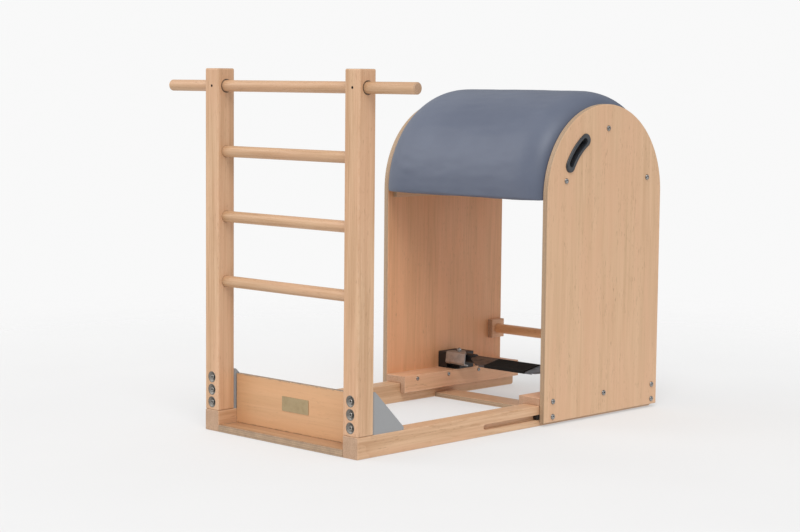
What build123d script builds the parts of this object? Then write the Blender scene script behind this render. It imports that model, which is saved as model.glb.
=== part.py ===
from build123d import *
import math
import os

# Pilates ladder barrel. Millimetres, +Z up, +X from the ladder towards the barrel, +Y to the left.
# The parts are drawn with X = 0 at the ladder's front face and moved to the middle of the base at the end.

# Running and fitting gaps
fit_gap = 0.3
screw_gap = 0.1
bolt_hole_gap = 0.3

# Base frame and ladder
frame_width = 605.0
ladder_height = 1000.0
post_width = 55.0
post_depth = 58.0
post_edge_radius = 4.0
post_end_radius = 4.0
rail_length = 1239.0
rail_height = 58.0
rail_edge_radius = 3.0
rail_end_radius = 8.0
rail_front_radius = 2.0

# Rungs and handle bar
rung_diameter = 31.0
rung_spacing = 178.5
rung_count = 3
mortise_depth = 30.0
handle_bar_length = 957.0
handle_bar_drop = 47.5
handle_bar_hole_gap = 0.6
handle_bar_chamfer = 3.0
set_screw_diameter = 6.0
set_screw_recess = 2.0
set_screw_socket = 3.0

# Steel gussets between the posts and the rails
gusset_width = 50.0
gusset_height = 112.0
gusset_length = 114.0
gusset_sheet = 3.0
gusset_fold_radius = 10.0
gusset_tip = 8.0
gusset_tip_radius = 3.0

# Three bolts through each post, in cup washers
bolt_diameter = 8.0
bolt_heights = (80.0, 115.0, 150.0)
bolt_head_diameter = 13.0
bolt_head_height = 4.5
bolt_head_recess = 0.5
bolt_socket_width = 5.0
bolt_socket_depth = 3.0
bolt_end_length = 2.0
cup_washer_diameter = 30.5
cup_washer_sheet = 1.5
cup_washer_seat_diameter = 16.0
nut_width = 13.0
nut_height = 6.5

# Screws through the gussets into the rails
gusset_screw_positions = (42.0, 84.0)
gusset_screw_diameter = 6.0
gusset_screw_head = 12.0
gusset_screw_head_height = 3.5
gusset_screw_length = 40.0

# Boards at the foot of the ladder and across the rails
foot_plate_thickness = 19.5
foot_board_gap = 8.0
foot_board_thickness = 15.0
foot_board_height = 137.5
name_plate_length = 105.0
name_plate_height = 40.0
name_plate_thickness = 1.0
name_plate_radius = 2.0
name_plate_side_shift = 5.0
name_plate_centre_height = 96.0
cross_board_thickness = 14.0
cross_board_width = 85.0
cross_board_position = 872.0
board_edge_radius = 1.5

# Side panels of the barrel
panel_front = 717.0
panel_length = 523.0
panel_thickness = 18.0
panel_running_gap = 1.7
panel_bottom = 9.0
arch_height = 909.0
panel_edge_radius = 3.0

# Padded drum
rib_thickness = 15.0
rib_radius = 240.0
rib_drop = 28.0
middle_rib_drop = 2.5
shell_thickness = 6.0
shell_drop = 7.5
batten_thickness = 20.0
batten_height = 27.0
batten_bottom = 2.5
pad_crown_radius = 297.0
pad_shoulder_radius = 291.0
pad_shoulder_width = 500.0
pad_end_radius = 258.0
pad_side_gap = 0.5
pad_drop = 8.5
pad_roll_radius = 8.0

# Curved hand slots with plastic liners
slot_arc_radius = 186.5
slot_arc_start = 27.9
slot_arc_end = 58.6
liner_flange_width = 38.0
liner_flange_thickness = 5.0
liner_flange_rounding = 4.0
liner_body_width = 33.0
liner_opening_width = 19.0
liner_opening_end_land = 7.0
liner_mouth_radius = 2.0

# Screws through the side panels
panel_screw_diameter = 5.0
panel_screw_head = 16.0
panel_screw_head_height = 4.0
panel_screw_length = 30.0
rib_screw_radius = 192.0
rib_screw_angles = (13.7, 90.0, 166.3)
screw_pattern_shift = 6.0
board_screw_offset = 230.0
guide_screw_length = 28.0

# Boards that ride on the rails, with their inner strips
top_board_thickness = 22.0
slide_strip_thickness = 17.0
slide_strip_height = 50.0
slide_strip_side_gap = 3.5
slide_board_edge_radius = 2.0
strip_screw_first = 55.5
strip_screw_spacing = 138.5
strip_screw_count = 4
strip_screw_diameter = 4.5
strip_screw_head = 12.0
strip_screw_head_height = 3.0
strip_screw_length = 45.0

# Grooves in the rails and the guides that run in them
groove_front = 484.0
groove_height = 15.0
groove_depth = 12.0
groove_centre_height = 25.5
guide_front = 706.0
guide_length = 522.0
guide_height_gap = 0.75
guide_depth_gap = 1.0
guide_end_gap = 3.0

# Round stretcher bar between the side panels
stretcher_position = 1207.0
stretcher_height = 180.0
stretcher_diameter = 30.0
stretcher_socket_depth = 12.0
stretcher_socket_gap = 0.6
stretcher_block_size = 58.0
stretcher_block_thickness = 18.0
stretcher_block_chamfer = 2.0

# Bearing blocks of the foot pedal
block_front = 945.0
block_length = 82.0
block_height = 50.0
block_inner_y = 228.0
block_edge_radius = 2.5
block_nose_radius = 5.0
boss_diameter = 30.0
boss_length = 48.0
shaft_diameter = 14.0
shaft_position = 984.0
shaft_height = 113.3
shaft_end_gap = 10.0

# Pocket in each block for the release lever and the brake plunger
pocket_front = 970.0
pocket_length = 52.0
pocket_width = 26.0
pocket_height = 45.0

# Bent steel brackets over the blocks
bracket_sheet = 4.0
bracket_tab_radius = 21.0
bracket_inner_y = 187.0
bracket_outer_y = 265.0
bracket_web_height = 31.0
bracket_web_lean = 4.5
bracket_lip_length = 17.0
bracket_lip_drop = 5.0
bracket_bend_radius = 5.0
bracket_groove_height = 21.0
bracket_groove_depth = 17.0
bracket_groove_side_gap = 2.0
bracket_bolt_diameter = 8.0
bracket_bolt_position = 22.0
bracket_bolt_inset = 8.0
bracket_bolt_depth = 22.0
bracket_nut_width = 13.0
bracket_nut_height = 6.5
bracket_washer_diameter = 17.0
bracket_washer_thickness = 1.5

# Foot pedal
pedal_tilt = 10.6
pedal_depth = 76.0
pedal_rear_overhang = 5.0
pedal_sheet = 3.0
pedal_rear_length = 354.0
pedal_front_length = 236.0
pedal_taper_depth = 45.0
pedal_lip_height = 3.0
pedal_corner_radius = 6.0
grip_length = 161.0
grip_depth = 73.0
grip_thickness = 2.0

# Release levers on the pedal shaft
lever_hub_diameter = 20.0
lever_width = 20.0
lever_reach = 21.0
lever_drop = 13.5
lever_nose_radius = 3.5
lever_fork_gap = 0.6
lever_turn_gap = 3.0
lever_relief_gap = 2.0

# Brake plungers that press on the rails
plunger_diameter = 12.0
plunger_collar_diameter = 18.0
plunger_collar_height = 3.0
shoe_diameter = 24.0
shoe_thickness = 6.0
shoe_hole_gap = 1.0

# Places worked out from the sizes above
frame_half = frame_width / 2
post_y = frame_half - post_width / 2
rail_inner_y = frame_half - post_width
post_height = ladder_height - rail_height
bar_x = post_depth / 2
handle_bar_height = ladder_height - handle_bar_drop
rung_heights = [handle_bar_height - rung_spacing * (i + 1) for i in range(rung_count)]
panel_inner_y = frame_half + panel_running_gap
panel_outer_y = panel_inner_y + panel_thickness
panel_rear = panel_front + panel_length
arch_radius = panel_length / 2
arch_x = panel_front + arch_radius
arch_z = arch_height - arch_radius
pad_half_width = panel_inner_y - pad_side_gap
pad_inner_radius = rib_radius + shell_thickness + 2 * fit_gap
screw_x = arch_x + screw_pattern_shift
board_top = rail_height + top_board_thickness
strip_outer_y = rail_inner_y - slide_strip_side_gap
strip_inner_y = strip_outer_y - slide_strip_thickness
board_screw_height = rail_height + top_board_thickness / 2
groove_rear = guide_front + guide_length + guide_end_gap
block_top = board_top + block_height
block_outer_y = panel_inner_y - fit_gap
plunger_x = shaft_position + lever_reach
collar_bottom = shaft_height - lever_drop + lever_nose_radius + fit_gap
pocket_top = board_top + pocket_height
brake_hole_diameter = shoe_diameter + 2 * shoe_hole_gap
# Middle of the base, below which the parts' common origin lies
origin_x = (arch_x + pad_crown_radius) / 2


def mirrored(shape):
    """The right-hand copy of a left-hand piece."""
    return mirror(shape, about=Plane.XZ)


def pair(left):
    """A left-hand piece or group of pieces, with its mirror image."""
    pieces = left if isinstance(left, list) else [left]
    return pieces + [mirrored(piece) for piece in pieces]


def cylinder_x(x, y, z, diameter, length):
    """A round bar along +X that starts at (x, y, z)."""
    return extrude(Plane((x, y, z), z_dir=(1, 0, 0)) * Circle(diameter / 2), length)


def cylinder_y(x, y, z, diameter, length):
    """A round bar along +Y that starts at (x, y, z)."""
    return extrude(Plane((x, y, z), z_dir=(0, 1, 0)) * Circle(diameter / 2), length)


def cylinder_z(x, y, z, diameter, length):
    """A round bar along +Z that starts at (x, y, z)."""
    return extrude(Plane((x, y, z)) * Circle(diameter / 2), length)


def block(x0, x1, y0, y1, z0, z1):
    """A box between the given corners."""
    return Pos(x0, y0, z0) * Box(x1 - x0, y1 - y0, z1 - z0, align=(Align.MIN,) * 3)


def screw(head_plane, diameter, head, head_height, length):
    """A button-head screw: the head stands on the plane and the shank goes below it."""
    button = extrude(Circle(head / 2), head_height)
    button = fillet(button.edges().group_by(Axis.Z)[-1], head_height * 0.8)
    shank = extrude(Circle(diameter / 2), -length)
    return head_plane * (button + shank)


def screw_hole(head_plane, diameter, length):
    """The hole that a screw's shank goes into, with a small gap all round."""
    return head_plane * extrude(Circle(diameter / 2 + screw_gap), -length - screw_gap)


def base_rail():
    rail = block(0, rail_length, rail_inner_y, frame_half, 0, rail_height)
    rear_bottom = rail.edges().filter_by(Axis.Y).sort_by(Axis.X)[-2:].sort_by(Axis.Z)[0]
    rail = fillet(rear_bottom, rail_end_radius)
    rail = fillet(rail.edges().filter_by(Axis.X), rail_edge_radius)
    rail = fillet(rail.edges().group_by(Axis.X)[0], rail_front_radius)
    groove_length = groove_rear - groove_front
    groove_plane = Plane(
        origin=(groove_front + groove_length / 2, frame_half, groove_centre_height),
        x_dir=(1, 0, 0),
        z_dir=(0, 1, 0),
    )
    rail -= extrude(groove_plane * SlotOverall(groove_length, groove_height), -groove_depth)
    for plane in gusset_screw_planes():
        rail -= screw_hole(plane, gusset_screw_diameter, gusset_screw_length)
    return rail


def upright():
    post = block(0, post_depth, rail_inner_y, frame_half, rail_height, ladder_height)
    post = fillet(post.edges().filter_by(Axis.Z), post_edge_radius)
    ends = post.edges().group_by(Axis.Z)
    post = fillet(ends[0] + ends[-1], post_end_radius)
    bar_hole = rung_diameter + 2 * handle_bar_hole_gap
    post -= cylinder_y(bar_x, rail_inner_y, handle_bar_height, bar_hole, post_width)
    for height in rung_heights:
        post -= cylinder_y(bar_x, rail_inner_y, height, rung_diameter + 2 * fit_gap, mortise_depth + fit_gap)
    post -= cylinder_x(0, post_y, handle_bar_height, set_screw_diameter + 2 * screw_gap, bar_x)
    for height in bolt_heights:
        post -= cylinder_x(0, post_y, height, bolt_diameter + 2 * bolt_hole_gap, post_depth)
        post -= cylinder_x(0, post_y, height, cup_washer_diameter + 2 * fit_gap, cup_depth())
    return post


def cup_depth():
    return bolt_head_recess + bolt_head_height + cup_washer_sheet


def rung(height):
    length = 2 * (rail_inner_y + mortise_depth)
    return cylinder_y(bar_x, -length / 2, height, rung_diameter, length)


def handle_bar():
    bar = cylinder_y(bar_x, -handle_bar_length / 2, handle_bar_height, rung_diameter, handle_bar_length)
    return chamfer(bar.edges().filter_by(GeomType.CIRCLE), handle_bar_chamfer)


def set_screws():
    """One headless screw in each post, down to the handle bar."""
    length = bar_x - rung_diameter / 2 - set_screw_recess - fit_gap
    body = cylinder_x(set_screw_recess, post_y, handle_bar_height, set_screw_diameter, length)
    socket = Plane((set_screw_recess, post_y, handle_bar_height), z_dir=(1, 0, 0))
    body -= extrude(socket * RegularPolygon(set_screw_socket / 2, 6, major_radius=False), length / 3)
    return pair(body)


def gusset():
    """A folded steel gusset: back, floor and two triangular sides, open along the slope."""
    outline = Polyline(
        (0, 0),
        (gusset_length, 0),
        (gusset_length, gusset_tip),
        (gusset_tip, gusset_height),
        (0, gusset_height),
        close=True,
    )
    side_plane = Plane((post_depth, post_y + gusset_width / 2, rail_height), x_dir=(1, 0, 0), z_dir=(0, -1, 0))
    body = extrude(side_plane * make_face(outline), gusset_width)
    tips = body.edges().filter_by(Axis.Y).sort_by(Axis.X)[2:]
    body = fillet(tips, gusset_tip_radius)
    body = fillet(body.edges().filter_by(Axis.Z).group_by(Axis.X)[0], gusset_fold_radius)
    hollow = block(
        post_depth + gusset_sheet,
        post_depth + 2 * gusset_length,
        post_y - gusset_width / 2 + gusset_sheet,
        post_y + gusset_width / 2 - gusset_sheet,
        rail_height + gusset_sheet,
        rail_height + 2 * gusset_height,
    )
    folds = hollow.edges().filter_by(Axis.Z).group_by(Axis.X)[0]
    hollow = fillet(folds, gusset_fold_radius - gusset_sheet)
    body -= hollow
    for height in bolt_heights:
        body -= cylinder_x(post_depth, post_y, height, bolt_diameter + 2 * bolt_hole_gap, gusset_sheet)
    for plane in gusset_screw_planes():
        body -= screw_hole(plane, gusset_screw_diameter, gusset_sheet)
    return body


def gusset_screw_planes():
    floor_top = rail_height + gusset_sheet
    return [Plane((post_depth + x, post_y, floor_top)) for x in gusset_screw_positions]


def gusset_screws():
    size = (gusset_screw_diameter, gusset_screw_head, gusset_screw_head_height, gusset_screw_length)
    return pair([screw(plane, *size) for plane in gusset_screw_planes()])


def upright_bolt(height):
    head = cylinder_x(bolt_head_recess, post_y, height, bolt_head_diameter, bolt_head_height)
    front = head.edges().filter_by(GeomType.CIRCLE).sort_by(Axis.X)[0]
    head = chamfer(front, bolt_head_height / 5)
    socket = Plane((bolt_head_recess, post_y, height), z_dir=(1, 0, 0))
    head -= extrude(socket * RegularPolygon(bolt_socket_width / 2, 6, major_radius=False), bolt_socket_depth)
    shank_start = bolt_head_recess + bolt_head_height
    shank_end = post_depth + gusset_sheet + nut_height + bolt_end_length
    shank = cylinder_x(shank_start, post_y, height, bolt_diameter, shank_end - shank_start)
    return head + shank


def cup_washer(height):
    """A dished washer that fills the counterbore and carries the bolt head at its bottom."""
    rim = cup_washer_diameter / 2
    seat = cup_washer_seat_diameter / 2
    hole = bolt_diameter / 2 + bolt_hole_gap
    floor = bolt_head_recess + bolt_head_height
    profile = Polyline(
        (bolt_head_recess, rim),
        (cup_depth(), rim),
        (cup_depth(), hole),
        (floor, hole),
        (floor, seat),
        (bolt_head_recess, rim - cup_washer_sheet),
        close=True,
    )
    return Pos(0, post_y, height) * revolve(make_face(profile), Axis.X)


def upright_nut(height):
    start = post_depth + gusset_sheet
    plane = Plane((start, post_y, height), z_dir=(1, 0, 0))
    nut = extrude(plane * RegularPolygon(nut_width / 2, 6, major_radius=False), nut_height)
    return nut - cylinder_x(start, post_y, height, bolt_diameter + 2 * screw_gap, nut_height)


def board_between_rails(x0, x1, z0, z1):
    """A board across the base that fills the width between the rails."""
    half = rail_inner_y - fit_gap
    board = block(x0, x1, -half, half, z0, z1)
    return fillet(board.edges().filter_by(Axis.Y), board_edge_radius)


def foot_board_front():
    return post_depth + foot_board_gap


def foot_plate():
    rear = foot_board_front() + foot_board_thickness
    return board_between_rails(0, rear, 0, foot_plate_thickness)


def foot_board():
    front = foot_board_front()
    top = foot_plate_thickness + foot_board_height
    return board_between_rails(front, front + foot_board_thickness, foot_plate_thickness, top)


def name_plate():
    """A bare metal plate on the front of the foot board."""
    front = foot_board_front()
    plane = Plane((front, name_plate_side_shift, name_plate_centre_height), x_dir=(0, -1, 0), z_dir=(-1, 0, 0))
    outline = RectangleRounded(name_plate_length, name_plate_height, name_plate_radius)
    return extrude(plane * outline, name_plate_thickness)


def cross_board():
    front = cross_board_position
    return board_between_rails(front, front + cross_board_width, 0, cross_board_thickness)


def arch_plane(y, normal):
    """A plane at the given height of Y, centred on the arch, with its X along the rails."""
    return Plane(origin=(arch_x, y, arch_z), x_dir=(1, 0, 0), z_dir=(0, normal, 0))


def hand_slot(width, end_land):
    """The curved outline of the hand slot, concentric with the arch, on the side towards the ladder."""
    land_angle = math.degrees(end_land / slot_arc_radius)
    # Angles are measured from the arch's level line on the ladder's side
    first = 180 - slot_arc_end + land_angle
    arc = CenterArc((0, 0), slot_arc_radius, first, slot_arc_end - slot_arc_start - 2 * land_angle)
    return SlotArc(arc, width)


def slot_cutter(y0, y1, width, end_land=0.0):
    """A solid with the hand slot's outline from y0 to y1, shorter by a land at each end."""
    # The plane looks towards -Y, so that its own Y is up
    return extrude(arch_plane(y1, -1) * hand_slot(width, end_land), y1 - y0)


def upper_screw_planes():
    planes = []
    for angle in rib_screw_angles:
        x = screw_x + rib_screw_radius * math.cos(math.radians(angle))
        z = arch_z + rib_screw_radius * math.sin(math.radians(angle))
        planes.append(Plane((x, panel_outer_y, z), x_dir=(1, 0, 0), z_dir=(0, 1, 0)))
    return planes


def lower_screw_planes(height, offsets):
    return [
        Plane((screw_x + offset, panel_outer_y, height), x_dir=(1, 0, 0), z_dir=(0, 1, 0))
        for offset in offsets
    ]


def board_screw_planes():
    return lower_screw_planes(board_screw_height, (-board_screw_offset, 0, board_screw_offset))


def guide_screw_planes():
    return lower_screw_planes(groove_centre_height, (-board_screw_offset, board_screw_offset))


def side_panel():
    """A plywood side with a round arched top, a hand slot and its screw holes."""
    outer = arch_plane(panel_outer_y, -1)
    leg_height = arch_z - panel_bottom
    outline = Circle(arch_radius) + Pos(0, -leg_height / 2) * Rectangle(panel_length, leg_height)
    panel = extrude(outer * outline, panel_thickness)
    rims = panel.edges().group_by(Axis.Y)
    panel = fillet(rims[0] + rims[-1], panel_edge_radius)
    panel -= slot_cutter(panel_inner_y, panel_outer_y, liner_body_width + 2 * fit_gap)
    for plane in upper_screw_planes() + board_screw_planes() + guide_screw_planes():
        panel -= screw_hole(plane, panel_screw_diameter, panel_thickness)
    return panel


def drum_rib_outline(y, drop):
    """A half-round rib with a flat lower edge, a drop below the arch's level line."""
    plane = arch_plane(y, -1)
    disc = Circle(rib_radius)
    below = Pos(0, -drop - rib_radius) * Rectangle(2 * rib_radius, 2 * rib_radius)
    return plane * (disc - below)


def drum_rib_side():
    rib = extrude(drum_rib_outline(panel_inner_y, rib_drop), rib_thickness)
    rib -= slot_cutter(panel_inner_y - rib_thickness, panel_inner_y, liner_body_width + 2 * fit_gap)
    for plane in upper_screw_planes():
        rib -= screw_hole(plane, panel_screw_diameter, panel_screw_length)
    return rib


def drum_rib_middle():
    return extrude(drum_rib_outline(rib_thickness / 2, middle_rib_drop), rib_thickness)


def drum_shell():
    """A thin plywood half-cylinder bent over the ribs."""
    half = panel_inner_y - fit_gap
    inner = rib_radius + fit_gap
    ring = Circle(inner + shell_thickness) - Circle(inner)
    below = Pos(0, -shell_drop - arch_radius) * Rectangle(4 * arch_radius, 2 * arch_radius)
    return extrude(arch_plane(half, -1) * (ring - below), 2 * half)


def drum_battens():
    """Straight battens between the ribs, behind the lower edges of the shell."""
    top = arch_z - batten_bottom + batten_height
    reach = math.sqrt(rib_radius**2 - max(batten_bottom, batten_height - batten_bottom) ** 2) - fit_gap
    inner = rib_thickness / 2
    outer = panel_inner_y - rib_thickness
    pieces = []
    for x0 in (arch_x - reach, arch_x + reach - batten_thickness):
        batten = block(x0, x0 + batten_thickness, inner, outer, top - batten_height, top)
        pieces.append(batten)
    return pair(pieces)


def barrel_pad():
    """The padded cover: crowned across, with drawn-in sides and rolled lower edges."""
    half = pad_half_width
    shoulder = pad_shoulder_width / 2
    crown = ThreePointArc(
        (-shoulder, pad_shoulder_radius), (0, pad_crown_radius), (shoulder, pad_shoulder_radius)
    )
    right = TangentArc(crown @ 1, (half, pad_end_radius), tangent=crown % 1)
    left_start = crown % 0
    left = TangentArc(crown @ 0, (-half, pad_end_radius), tangent=(-left_start.X, -left_start.Y))
    sides = Polyline(
        (half, pad_end_radius), (half, pad_inner_radius), (-half, pad_inner_radius), (-half, pad_end_radius)
    )
    # Two halves of the crown, so that its highest line is an edge of the cover
    crown_halves = [crown.trim(0, 0.5), crown.trim(0.5, 1)]
    profile = make_face(crown_halves + [right, left, sides])
    # Profile's X lies along the width and its Y along the radius, on the front side of the drum
    profile_plane = Plane(origin=(arch_x, 0, arch_z), x_dir=(0, 1, 0), z_dir=(0, 0, 1))
    drop_angle = math.degrees(math.asin(pad_drop / pad_crown_radius))
    axis = Axis((arch_x, 0, arch_z), (0, 1, 0))
    pad = revolve(profile_plane * profile, axis, 180 + 2 * drop_angle)
    pad = pad.rotate(axis, -drop_angle)
    lower_ends = [face for face in pad.faces().filter_by(GeomType.PLANE) if abs(face.normal_at().Y) < 0.5]
    outer_edges = [edge for face in lower_ends for edge in face.edges() if edge.geom_type != GeomType.LINE]
    return fillet(outer_edges, pad_roll_radius)


def hand_grip():
    """A plastic liner through the panel and the rib, with a domed flange round a narrower opening."""
    inner = panel_inner_y - rib_thickness
    outer = panel_outer_y + liner_flange_thickness
    flange = slot_cutter(panel_outer_y, outer, liner_flange_width)
    flange = fillet(flange.edges().group_by(Axis.Y)[-1], liner_flange_rounding)
    liner = slot_cutter(inner, panel_outer_y, liner_body_width) + flange
    liner -= slot_cutter(inner, outer, liner_opening_width, liner_opening_end_land)
    mouth = liner.faces().sort_by(Axis.Y)[-1].inner_wires()[0]
    return fillet(mouth.edges(), liner_mouth_radius)


def panel_screws():
    size = (panel_screw_diameter, panel_screw_head, panel_screw_head_height)
    long_screws = [screw(p, *size, panel_screw_length) for p in upper_screw_planes() + board_screw_planes()]
    guide_screws = [screw(p, *size, guide_screw_length) for p in guide_screw_planes()]
    return pair(long_screws + guide_screws)


def stretcher_bar():
    half = panel_inner_y - stretcher_block_thickness + stretcher_socket_depth
    return cylinder_y(stretcher_position, -half, stretcher_height, stretcher_diameter, 2 * half)


def stretcher_block():
    inner = panel_inner_y - stretcher_block_thickness
    reach = stretcher_block_size / 2
    body = block(
        stretcher_position - reach,
        stretcher_position + reach,
        inner,
        panel_inner_y,
        stretcher_height - reach,
        stretcher_height + reach,
    )
    body = chamfer(body.edges().group_by(Axis.Y)[0], stretcher_block_chamfer)
    socket = stretcher_diameter + 2 * stretcher_socket_gap
    depth = stretcher_socket_depth + fit_gap
    return body - cylinder_y(stretcher_position, inner, stretcher_height, socket, depth)


def top_board():
    """The board that rides on the rail and carries the side panel."""
    board = block(panel_front, panel_rear, strip_outer_y, panel_inner_y, rail_height, board_top)
    board = fillet(board.edges().filter_by(Axis.Y), slide_board_edge_radius)
    board -= cylinder_z(plunger_x, post_y, rail_height, brake_hole_diameter, top_board_thickness)
    for plane in board_screw_planes():
        board -= screw_hole(plane, panel_screw_diameter, panel_screw_length)
    for plane in strip_screw_planes():
        board -= screw_hole(plane, strip_screw_diameter, strip_screw_length)
    return board


def slide_strip():
    """The inner strip that keeps the barrel in line between the rails."""
    bottom = board_top - slide_strip_height
    strip = block(panel_front, panel_rear, strip_inner_y, strip_outer_y, bottom, board_top)
    strip = fillet(strip.edges().group_by(Axis.Y)[0], slide_board_edge_radius)
    for plane in strip_screw_planes():
        strip -= screw_hole(plane, strip_screw_diameter, slide_strip_thickness)
    return strip


def strip_screw_planes():
    first = panel_front + strip_screw_first
    return [
        Plane((first + i * strip_screw_spacing, strip_inner_y, board_screw_height), x_dir=(1, 0, 0), z_dir=(0, -1, 0))
        for i in range(strip_screw_count)
    ]


def strip_screws():
    size = (strip_screw_diameter, strip_screw_head, strip_screw_head_height, strip_screw_length)
    return pair([screw(plane, *size) for plane in strip_screw_planes()])


def guide_strip():
    """The plastic guide that runs in the rail's groove and stops at its ends."""
    height = groove_height - 2 * guide_height_gap
    inner = frame_half - groove_depth + guide_depth_gap
    plane = Plane(
        origin=(guide_front + guide_length / 2, panel_inner_y, groove_centre_height),
        x_dir=(1, 0, 0),
        z_dir=(0, 1, 0),
    )
    strip = extrude(plane * SlotOverall(guide_length, height), inner - panel_inner_y)
    for screw_plane in guide_screw_planes():
        strip -= screw_hole(screw_plane, panel_screw_diameter, guide_screw_length)
    return strip


def pivot_block():
    """A moulded bearing block on the top board, with the bearing boss for the pedal shaft."""
    rear = block_front + block_length
    body = block(block_front, rear, block_inner_y, block_outer_y, board_top, block_top)
    nose = body.edges().filter_by(Axis.Y).sort_by(Axis.X)[:2].sort_by(Axis.Z)[-1]
    body = fillet(nose, block_nose_radius)
    body = fillet(body.edges().filter_by(Axis.Z), block_edge_radius)
    body += cylinder_y(shaft_position, block_inner_y - boss_length, shaft_height, boss_diameter, boss_length)
    shaft_end = panel_inner_y - shaft_end_gap
    bore_length = shaft_end + fit_gap - (block_inner_y - boss_length)
    bore = shaft_diameter + 2 * fit_gap
    body -= cylinder_y(shaft_position, block_inner_y - boss_length, shaft_height, bore, bore_length)
    body -= block(
        pocket_front,
        pocket_front + pocket_length,
        post_y - pocket_width / 2,
        post_y + pocket_width / 2,
        board_top,
        pocket_top,
    )
    groove_top = block_top - bracket_web_height + bracket_sheet
    body -= block(
        block_front,
        block_front + bracket_groove_depth,
        block_inner_y,
        bracket_outer_y + bracket_groove_side_gap,
        groove_top - bracket_groove_height,
        groove_top,
    )
    return body - bracket_bolt_hole()


def bracket_bolt_place():
    return block_front + bracket_bolt_position, block_inner_y + bracket_bolt_inset


def bracket_bolt_hole():
    x, y = bracket_bolt_place()
    hole = bracket_bolt_diameter + 2 * screw_gap
    bottom = block_top - bracket_bolt_depth - screw_gap
    return cylinder_z(x, y, bottom, hole, block_top - bottom)


def lock_bracket():
    """A bent strip over each block: a tab round the bolt, a leaning front web and a flared lower lip."""
    bolt_x, bolt_y = bracket_bolt_place()
    half_sheet = bracket_sheet / 2
    top = block_top + half_sheet
    web_x = block_front - half_sheet
    web_bottom = block_top - bracket_web_height
    path = FilletPolyline(
        (bolt_x + bracket_tab_radius, top),
        (web_x, top),
        (web_x - bracket_web_lean, web_bottom),
        (web_x - bracket_web_lean + bracket_lip_length, web_bottom - bracket_lip_drop),
        radius=bracket_bend_radius,
    )
    section = trace(path, bracket_sheet)
    # The section's own Y is up and the plane looks towards -Y
    plane = Plane(origin=(0, bracket_outer_y, 0), x_dir=(1, 0, 0), z_dir=(0, -1, 0))
    bracket = extrude(plane * section, bracket_outer_y - bracket_inner_y)
    root = Pos(block_front, (bracket_inner_y + bracket_outer_y) / 2) * Rectangle(
        bracket_sheet, bracket_outer_y - bracket_inner_y
    )
    tab = make_hull((root + Pos(bolt_x, bolt_y) * Circle(bracket_tab_radius)).edges())
    flange_rear = bolt_x + bracket_tab_radius
    flange = block(block_front, flange_rear, bracket_inner_y, bracket_outer_y, block_top, block_top + bracket_sheet)
    bracket -= flange - Pos(0, 0, block_top) * extrude(tab, bracket_sheet)
    hole = bracket_bolt_diameter + 2 * bolt_hole_gap
    return bracket - cylinder_z(bolt_x, bolt_y, block_top, hole, bracket_sheet)


def bracket_bolts():
    """A bolt, nut and washer on top of each bracket, made as one stud assembly per side."""
    x, y = bracket_bolt_place()
    seat = block_top + bracket_sheet
    washer = cylinder_z(x, y, seat, bracket_washer_diameter, bracket_washer_thickness)
    nut_plane = Plane((x, y, seat + bracket_washer_thickness))
    nut = extrude(nut_plane * RegularPolygon(bracket_nut_width / 2, 6, major_radius=False), bracket_nut_height)
    bottom = block_top - bracket_bolt_depth
    top = seat + bracket_washer_thickness + bracket_nut_height + bolt_end_length
    stud = cylinder_z(x, y, bottom, bracket_bolt_diameter, top - bottom)
    return pair(washer + nut + stud)


def pedal_location():
    """The pedal's own frame: origin on the shaft axis, X towards the rear in the plate's plane."""
    return Location((shaft_position, 0, shaft_height), (0, -pedal_tilt, 0))


def pedal_plate():
    """The steel foot plate on the shaft, tapered towards the front, with a turned-down front lip."""
    rear = pedal_rear_overhang
    front = rear - pedal_depth
    half_rear = pedal_rear_length / 2
    half_front = pedal_front_length / 2
    outline = Polyline(
        (rear, -half_rear),
        (rear, half_rear),
        (front + pedal_taper_depth, half_rear),
        (front, half_front),
        (front, -half_front),
        (front + pedal_taper_depth, -half_rear),
        close=True,
    )
    under = shaft_diameter / 2
    plate = extrude(Plane((0, 0, under)) * make_face(outline), pedal_sheet)
    plate = fillet(plate.edges().filter_by(Axis.Z), pedal_corner_radius)
    lip_half = half_front - 2 * pedal_corner_radius
    lip = block(front, front + pedal_sheet, -lip_half, lip_half, under - pedal_lip_height, under + pedal_sheet)
    return pedal_location() * (plate + lip)


def pedal_grip():
    """The rubber tread on the middle of the plate, turned down over its front edge."""
    lip_front = pedal_rear_overhang - pedal_depth
    front = lip_front - grip_thickness
    under = shaft_diameter / 2
    top = under + pedal_sheet
    half = grip_length / 2
    tread = block(front, front + grip_depth, -half, half, top, top + grip_thickness)
    return pedal_location() * (tread + block(front, lip_front, -half, half, under - pedal_lip_height, top))


def pedal_shaft():
    half = panel_inner_y - shaft_end_gap
    return cylinder_y(shaft_position, -half, shaft_height, shaft_diameter, 2 * half)


def release_levers():
    """A forked lever on each end of the shaft, with its nose under the plunger's collar."""
    hub = Circle(lever_hub_diameter / 2)
    nose = Pos(lever_reach, -lever_drop) * Circle(lever_nose_radius)
    outline = make_hull((hub + nose).edges())
    outline -= Circle(shaft_diameter / 2 + screw_gap)
    plane = Plane(
        origin=(shaft_position, post_y + lever_width / 2, shaft_height), x_dir=(1, 0, 0), z_dir=(0, -1, 0)
    )
    lever = extrude(plane * outline, lever_width)
    fork_half = plunger_diameter / 2 + lever_fork_gap
    fork_start = plunger_x - plunger_diameter / 2 - lever_turn_gap
    lever -= block(
        fork_start,
        plunger_x + lever_hub_diameter,
        post_y - fork_half,
        post_y + fork_half,
        board_top,
        block_top,
    )
    lever -= block(
        plunger_x - plunger_collar_diameter / 2 - lever_relief_gap,
        plunger_x + lever_hub_diameter,
        post_y - lever_width,
        post_y + lever_width,
        shaft_height - lever_drop + lever_nose_radius,
        block_top,
    )
    return pair(lever)


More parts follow.
